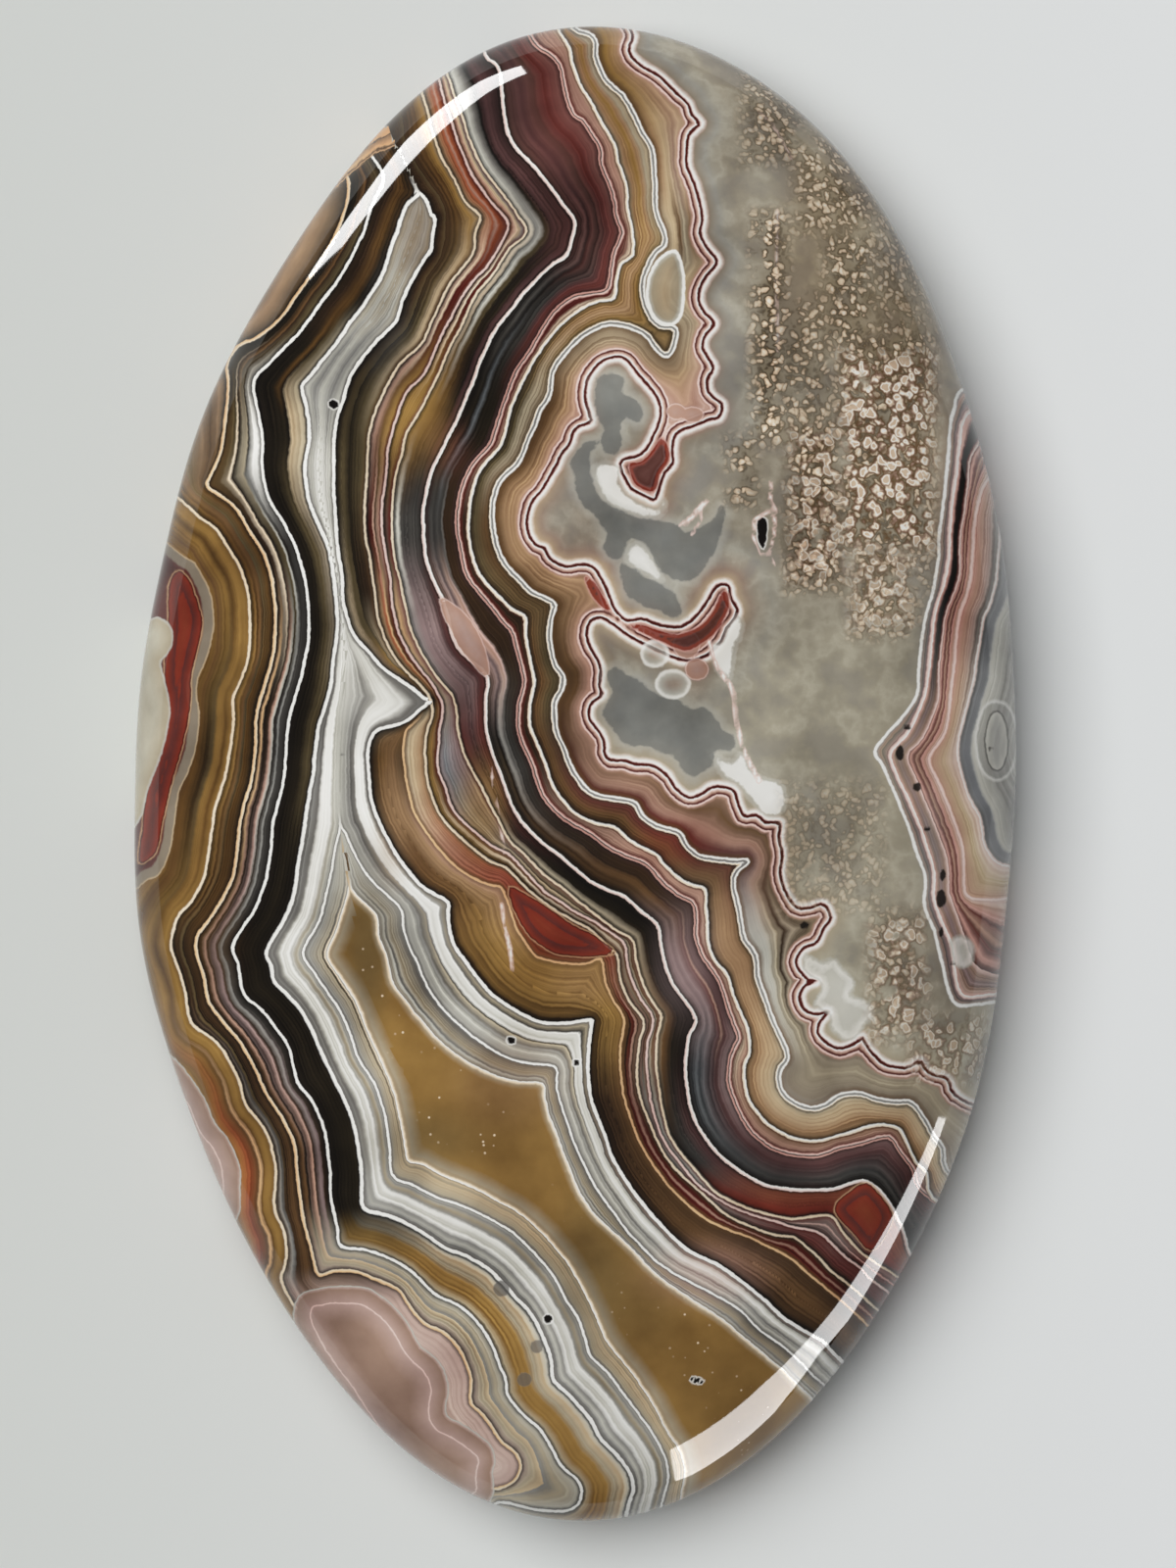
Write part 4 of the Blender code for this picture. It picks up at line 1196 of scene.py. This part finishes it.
# The clear part is mottled grey, green and cream.
def mottleOver(paint, colour, where, zone):
    clear = paint.spread(paint.read("lace"), 0.25, 0.8)
    if zone == "corner":
        clear = paint.calc("MULTIPLY", clear, paint.spread(paint.read("f1"), 0.0, -0.3))
    mottle = paint.ramp(paint.noise(look["mottle"], 10, where), [
        (0.4, "mottleGrey", 1), (0.5, "greyGreen", 1), (0.57, "paleGreen", 1), (0.66, "greyGreen", 1)])[0]
    return paint.mix(paint.calc("MULTIPLY", clear, look["mottleShare"]), colour, mottle)


# Mossy grains and little rings in the clear part, over a brown haze.
# Each grain carries a painted highlight in its middle and painted shade at its edge.
def mossOver(paint, colour, where):
    clump = paint.noise(look["mossClumps"], 5, where)
    bent = bentPlaces(paint, where)
    column = paint.read("moss", False)
    haze = paint.calc("MULTIPLY", column, paint.spread(clump, 0.3, 0.6))
    colour = paint.mix(paint.calc("MULTIPLY", haze, look["mossHaze"]), colour, linear("moss"))
    # From a white painted highlight in each grain's middle, through cream and tan, to dark brown painted
    # shade between the grains.
    grainTintAndShade, grainShown = paint.ramp(cellNoise(paint, look["mossGrains"], bent), [
        (0.0, "white", 1), (0.24, "cream", 1), (0.38, "grainTan", 1),
        (0.45, "moss", 0.9), (0.54, "darkBrown", 0.8), (0.75, "olive", 0.0)])
    amount = paint.calc("MULTIPLY", paint.calc("MULTIPLY", column, grainShown),
                        paint.spread(clump, 0.34, 0.42))
    colour = paint.mix(amount, colour, grainTintAndShade)
    ringTint, ringShown = paint.ramp(cellNoise(paint, look["mossRings"], bent), [
        (0.0, "white", 1), (0.07, "grainTan", 1), (0.26, "grainTan", 1), (0.33, "white", 1),
        (0.4, "cream", 1), (0.47, "rose", 1), (0.56, "brown", 0.9), (0.76, "moss", 0.0)])
    amount = paint.calc("MULTIPLY", paint.calc("MULTIPLY", paint.read("rings", False), ringShown),
                        paint.spread(clump, 0.3, 0.38))
    return paint.mix(amount, colour, ringTint)


# A few bright flecks float in the clear honey heart.
def glitterOver(paint, colour, where):
    fleck = paint.spread(cellNoise(paint, look["flecks"], where), 0.16, 0.08)
    patchy = paint.spread(paint.noise(look["fleckPatches"], 2, where), 0.52, 0.62)
    amount = paint.calc("MULTIPLY", paint.calc("MULTIPLY", fleck, patchy), paint.read("glitter", False))
    return paint.mix(amount, colour, linear("cream"))


def agateMaterial(zone):
    material, paint = newPaint("agate_" + zone)
    gaps = zones[zone]
    used = {name for before, after, _ in gaps for name in (before, after) if name}
    where = paint.nodes.new("ShaderNodeTexCoord").outputs["Object"]
    # The bands waver slightly, all together.
    slow = paint.calc("SUBTRACT", paint.noise(look["slowWaver"], 3, where), 0.5)
    slow = paint.calc("MULTIPLY", slow, look["slowWaverMm"])
    quick = paint.calc("SUBTRACT", paint.noise(look["quickWaver"], 2, where), 0.5)
    quick = paint.calc("MULTIPLY", quick, look["quickWaverMm"])
    shift = paint.calc("ADD", slow, quick)
    paint.shift = shift

    def inOrder(gaps, colour, phase):
        for index, (before, after, stations) in enumerate(gaps):
            def build(inner):
                fresh, across = gapColour(inner, before, after, stations)
                level = inner.calc("ADD", across, float(index))
                beyond = inner.calc("GREATER_THAN", inner.read(before), 0.0) if index else 1.0
                step = inner.calc("MULTIPLY", inner.calc("SUBTRACT", level, inner.given["phase"]), beyond)
                return (inner.mix(beyond, inner.given["colour"], fresh),
                        inner.calc("ADD", inner.given["phase"], step))
            inputs = {"shift": shift, "colour": colour, "phase": phase}
            colour, phase = grouped(paint, "gap_" + (before or "edge"), inputs, ("colour", "phase"), build)
        return colour, phase

    def lines(colours, colour, within):
        for name, text in colours.items():
            inputs = {"shift": shift, "colour": colour}
            if name in ragged:
                inputs["shift"] = paint.calc("MULTIPLY", shift, look["raggedWaver"])
            colour = grouped(paint, "line_" + name, inputs, ("colour",),
                             lambda inner: lineOver(inner, name, text, within))[0]
        return colour

    colour, phase = inOrder(gaps, linear("honey"), 0.0)
    # Clouds of colour, then the fine parallel growth lines inside each band.
    cloud = paint.nodes.new("ShaderNodeAttribute")
    cloud.attribute_name = "cloud"
    colour = paint.mix(cloud.outputs["Alpha"], colour, cloud.outputs["Color"])
    fineLines = paint.noise(look["growthLines"], 4, phase, True)
    amount = look["growthShare"]
    if zone in growthEnds:
        line, hidden, shown = growthEnds[zone]
        amount = paint.spread(paint.read(line), hidden, shown)
    patchy = paint.spread(paint.noise(look["growthPatches"], 3, where), 0.4, 0.6)
    patchy = paint.calc("ADD", paint.calc("MULTIPLY", patchy, look["growthChange"]), look["growthLeast"])
    amount = paint.calc("MULTIPLY", amount, patchy)
    colour = paint.mix(amount, colour, paint.ramp(fineLines, growthStops)[0], "SOFT_LIGHT")
    if zone in ("outer", "corner"):
        colour = mottleOver(paint, colour, where, zone)
    colour = lines({name: text for name, text in lineColours.items() if name in used}, colour, True)
    colour = lines({kind: patchColours[kind] for kind in patchZones[zone]}, colour, False)
    if zone in ("outer", "corner"):
        colour = mossOver(paint, colour, where)
    if zone in ("left", "heart"):
        colour = glitterOver(paint, colour, where)
    tone = paint.ramp(paint.noise(look["tone"], 6, where), growthStops)[0]
    colour = paint.mix(look["toneShare"], colour, tone, "SOFT_LIGHT")
    colour = paint.mix(look["contrast"], colour, colour, "OVERLAY")
    shader = paint.nodes.new("ShaderNodeBsdfPrincipled")
    paint.links.new(colour, shader.inputs["Base Color"])
    shader.inputs["IOR"].default_value = look["refraction"]
    # The ground back and foot are duller than the polished crown.
    ground = paint.read("ground", False)
    rough = paint.calc("ADD", paint.calc("MULTIPLY", ground, look["groundRough"]), look["polishRough"])
    paint.links.new(rough, shader.inputs["Roughness"])
    sink = paint.nodes.new("ShaderNodeOutputMaterial")
    paint.links.new(shader.outputs[0], sink.inputs["Surface"])
    return material


# How strongly the moss shows at each place: 1 inside a column, fading over its soft edge.
def inColumns(pixel, columns):
    shown = np.zeros(len(pixel))
    for x0, y0, x1, y1, strength in columns:
        out = np.maximum(np.abs(pixel[:, 0] - (x0 + x1) / 2) - (x1 - x0) / 2,
                         np.abs(pixel[:, 1] - (y0 + y1) / 2) - (y1 - y0) / 2)
        shown = np.maximum(shown, strength * np.clip(0.5 - out / columnEdge, 0, 1))
    return shown


# The clouds laid over each other: their colour, then how much of it shows.
def cloudColours(pixel):
    cloud = np.zeros((len(pixel), 4))
    for x, y, across, up, tint, strength in clouds:
        far = ((pixel[:, 0] - x) / across)**2 + ((pixel[:, 1] - y) / up)**2
        amount = (strength * np.exp(-far**1.5))[:, None]
        total = amount + cloud[:, 3:] * (1 - amount)
        mixed = (np.array(linear(tint)[:3]) * amount + cloud[:, :3] * cloud[:, 3:] * (1 - amount))
        cloud[:, :3] = mixed / np.maximum(total, 1e-6)
        cloud[:, 3:] = total
    return cloud


# Each face takes the zone that its middle lies in, counted as in zones.
def faceZones(mesh, fields):
    corners = np.empty(len(mesh.loops), np.int32)
    mesh.loops.foreach_get("vertex_index", corners)
    starts = np.empty(len(mesh.polygons), np.int32)
    mesh.polygons.foreach_get("loop_start", starts)
    sizes = np.diff(np.append(starts, len(corners)))

    def overFaces(values):
        return np.add.reduceat(values[corners], starts) / sizes

    # A sum of two distances changes sign half way between the two lines.
    zone = np.where(overFaces(fields["mid"]) > 0, 1, 0)
    zone[(zone == 1) & (overFaces(fields["sr"] + fields["c0"]) > 0)] = 2
    zone[(zone == 2) & (overFaces(fields["b3"] + fields["b4"]) > 0)] = 3
    zone[(zone == 3) & (overFaces(fields["f1"]) > -0.6) & (overFaces(fields["lace"]) > 0.7)] = 4
    return zone.astype(np.int32)


# Everything that the shaders read is stored on the mesh here, the distances in millimetres.
def writeBanding(mesh):
    place = np.empty(len(mesh.vertices) * 3, np.float32)
    mesh.vertices.foreach_get("co", place)
    place = place.reshape(-1, 3)
    # Moved to where the camera sees each place, so that the drawn lines fall there.
    eye = toMm(np.array([[view["imageWidth"] / 2, view["imageHeight"] / 2]]))[0]
    lift = view["distance"] / (view["distance"] - (place[:, 2] - stone["girdleHeight"]))
    seen = (place[:, :2] * 1000 - eye) * lift[:, None] + eye
    seen = seen.astype(np.float32)

    fields = {}

    def store(name, values):
        fields[name] = values
        mesh.attributes.new(name, "FLOAT", "POINT").data.foreach_set("value", np.asarray(values, np.float32))

    for name, flat in traced.items():
        store(name, sideDistance(seen, toMm(pairs(flat)).astype(np.float32)))
    for name, shapes in patches.items():
        store(name, np.max([patchDistance(seen, toMm(pairs(flat))) for flat in shapes], axis=0))
    for name, strokes in veinsAndGlints.items():
        best = np.full(len(place), farOutside, np.float32)
        for flat, halfWidth in strokes:
            best = np.maximum(best, halfWidth - strokeDistance(seen, toMm(pairs(flat))))
        store(name, best)
    pixel = np.stack([seen[:, 0] * view["pixelsPerMm"] + view["centreX"],
                      view["centreY"] - seen[:, 1] * view["pixelsPerMm"]], 1)
    store("moss", inColumns(pixel, mossColumns))
    store("rings", inColumns(pixel, ringColumns))
    store("glitter", np.clip(np.minimum(fields["ql"], -fields["qr"]) * 2, 0, 1))
    mesh.polygons.foreach_set("material_index", faceZones(mesh, fields))
    store("along", seen[:, 1])
    store("ground", np.clip((stone["groundTop"] - place[:, 2]) / stone["groundFade"], 0, 1))
    layer = mesh.attributes.new("cloud", "FLOAT_COLOR", "POINT")
    layer.data.foreach_set("color", cloudColours(pixel).astype(np.float32).ravel())


materials = {zone: agateMaterial(zone) for zone in zones}
base = stoneBase()
shaper = bpy.data.objects.new("stone_shaper", base)
bpy.context.scene.collection.objects.link(shaper)
modifier = shaper.modifiers.new("dome", "NODES")
modifier.node_group = domeTree(materials["left"])
for item in modifier.node_group.interface.items_tree:
    if item.in_out == "INPUT" and item.socket_type == "NodeSocketFloat":
        modifier[item.identifier] = item.default_value
bpy.context.view_layer.update()
evaluated = shaper.evaluated_get(bpy.context.evaluated_depsgraph_get())
cut = bpy.data.meshes.new_from_object(evaluated)
bpy.data.objects.remove(shaper)
cut.name = "agate_stone"
for zone in list(zones)[1:]:
    cut.materials.append(materials[zone])
for name in ("reach", "turn"):
    cut.attributes.remove(cut.attributes[name])
cut.shade_smooth()
print("stage 2: stone shaped", len(cut.vertices))
writeBanding(cut)
print("stage 3: banding traced")
cabochon = bpy.data.objects.new("agate_stone", cut)
bpy.context.scene.collection.objects.link(cabochon)
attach(cabochon, "root")
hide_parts("agate_cabochon")


# Plain paper with painted shade: a little darker on the left, as the room lights it.
def paperMaterial():
    material, paint = newPaint("white_paper")
    where = paint.nodes.new("ShaderNodeTexCoord").outputs["Object"]
    split = paint.nodes.new("ShaderNodeSeparateXYZ")
    paint.links.new(where, split.inputs[0])
    shader = paint.nodes.new("ShaderNodeBsdfPrincipled")
    across = paint.spread(split.outputs[0], -light["paperTurn"], light["paperTurn"])
    colour = paint.mix(across, light["paperLeft"], light["paperRight"])
    paint.links.new(colour, shader.inputs["Base Color"])
    shader.inputs["Roughness"].default_value = 0.9
    sink = paint.nodes.new("ShaderNodeOutputMaterial")
    paint.links.new(shader.outputs[0], sink.inputs["Surface"])
    return material


light = {
    # The paper's two colours carry painted shade: darker on the left, lighter on the right.
    "paperLeft": (0.67, 0.69, 0.665, 1.0),
    "paperRight": (0.80, 0.815, 0.815, 1.0),
    "paperTurn": 0.02,      # metres from the middle to where each of the two is reached
    "ceilingWatts": 10.8,
    "ceilingSize": 0.9,
    "ceilingPlace": (-0.35, 0.25, 0.9),
    "ceilingTilt": (-15, -20),
    "skyTint": (0.97, 0.98, 1.0, 1.0),
    "skyStrength": 0.1,
    "upperStreak": 16.0,
    "lowerStreak": 10.0,
    "streakFar": 0.4,       # metres from the stone to the mirrored strips
    "paperHalf": 1.5,       # metres from the middle of the paper to its edge
}
floorMesh = bpy.data.meshes.new("paper")
half = light["paperHalf"]
paperCorners = [(-half, -half, 0), (half, -half, 0), (half, half, 0), (-half, half, 0)]
floorMesh.from_pydata(paperCorners, [], [(0, 1, 2, 3)])
floorMesh.materials.append(paperMaterial())
paper = bpy.data.objects.new("paper", floorMesh)
bpy.context.scene.collection.objects.link(paper)


def domeHeight(places):
    angle = np.arctan2(places[:, 1], places[:, 0])
    reach = np.hypot(places[:, 0], places[:, 1]) / np.interp(angle, rimAngle, rimRadius, period=2 * np.pi)
    power = stone["crownPower"]
    rise = np.maximum(1 - np.minimum(reach, 0.9999)**power, 0)**(1 / power)
    return stone["girdleHeight"] + (stone["thickness"] - stone["girdleHeight"]) * rise


# A window's bright edge mirrored in the polish: the strip stands where the dome sends
# the camera's sight line from each point of the streak.
def streakPlaces(flat):
    spots = toMm(pairs(flat)) / 1000
    marks = spots
    eye = np.array([*(toMm(np.array([[view["imageWidth"] / 2, view["imageHeight"] / 2]]))[0] / 1000),
                    stone["girdleHeight"] + view["distance"]])
    for _ in range(3):
        z = domeHeight(marks)
        lift = view["distance"] / (view["distance"] - (z - stone["girdleHeight"]))
        marks = (spots - eye[:2]) / lift[:, None] + eye[:2]
    small = 2e-5
    z = domeHeight(marks)
    slopeX = (domeHeight(marks + (small, 0)) - domeHeight(marks - (small, 0))) / (2 * small)
    slopeY = (domeHeight(marks + (0, small)) - domeHeight(marks - (0, small))) / (2 * small)
    normal = np.column_stack([-slopeX, -slopeY, np.ones(len(z))])
    normal /= np.linalg.norm(normal, axis=1)[:, None]
    point = np.column_stack([marks, z])
    sight = point - eye
    sight /= np.linalg.norm(sight, axis=1)[:, None]
    bounce = sight - 2 * (sight * normal).sum(1)[:, None] * normal
    return point + bounce * light["streakFar"]


def ribbon(name, inner, outer, strength):
    first, second = streakPlaces(inner), streakPlaces(outer)
    mesh = bpy.data.meshes.new(name)
    count = len(first)
    faces = [(k, k + 1, count + k + 1, count + k) for k in range(count - 1)]
    mesh.from_pydata(np.vstack([first, second]).tolist(), [], faces)
    glow = bpy.data.materials.new(name)
    glow.use_nodes = True
    glow.node_tree.nodes.clear()
    lamp = glow.node_tree.nodes.new("ShaderNodeEmission")
    lamp.inputs["Strength"].default_value = strength
    sink = glow.node_tree.nodes.new("ShaderNodeOutputMaterial")
    glow.node_tree.links.new(lamp.outputs[0], sink.inputs["Surface"])
    mesh.materials.append(glow)
    strip = bpy.data.objects.new(name, mesh)
    bpy.context.scene.collection.objects.link(strip)
    strip.visible_camera = False
    strip.visible_diffuse = False
    strip.visible_shadow = False


# Each glint's inner and outer edge, in pixels of the photograph.
glints = {
    "upperInner": [538, 74, 500, 92, 462, 122, 425, 158, 385, 205, 350, 250, 317, 283],
    "upperOuter": [532, 66, 490, 82, 450, 110, 412, 145, 374, 195, 342, 240, 314, 281],
    "lowerInner": [958, 1140, 930, 1205, 895, 1270, 852, 1335, 815, 1378, 780, 1412, 735, 1450, 684, 1480],
    "lowerOuter": [976, 1140, 952, 1205, 918, 1270, 876, 1335, 836, 1382, 800, 1430, 755, 1480, 690, 1512],
}
ribbon("upper_glint", glints["upperInner"], glints["upperOuter"], light["upperStreak"])
ribbon("lower_glint", glints["lowerInner"], glints["lowerOuter"], light["lowerStreak"])

ceiling = bpy.data.lights.new("ceiling", "AREA")
ceiling.shape = "RECTANGLE"
ceiling.size, ceiling.size_y = light["ceilingSize"], light["ceilingSize"]
ceiling.energy = light["ceilingWatts"]
ceilingLamp = bpy.data.objects.new("ceiling", ceiling)
ceilingLamp.location = light["ceilingPlace"]
ceilingLamp.rotation_euler = (*[math.radians(angle) for angle in light["ceilingTilt"]], 0)
ceilingLamp.visible_glossy = False
bpy.context.scene.collection.objects.link(ceilingLamp)

world = bpy.data.worlds.new("soft_room")
bpy.context.scene.world = world
world.use_nodes = True
sky = world.node_tree.nodes["Background"]
sky.inputs["Color"].default_value = light["skyTint"]
sky.inputs["Strength"].default_value = light["skyStrength"]

camera = bpy.data.cameras.new("camera")
camera.sensor_width = view["sensor"]
frameHeight = view["imageHeight"] / view["pixelsPerMm"]
camera.lens = view["sensor"] * view["distance"] * 1000 / frameHeight
camera.clip_start = 0.01
cameraObject = bpy.data.objects.new("camera", camera)
eyeMm = toMm(np.array([[view["imageWidth"] / 2, view["imageHeight"] / 2]]))[0]
cameraObject.location = (eyeMm[0] / 1000, eyeMm[1] / 1000, stone["girdleHeight"] + view["distance"])
bpy.context.scene.collection.objects.link(cameraObject)
bpy.context.scene.camera = cameraObject
bpy.context.scene.view_settings.view_transform = "Standard"
print("stage 4: light and camera set")
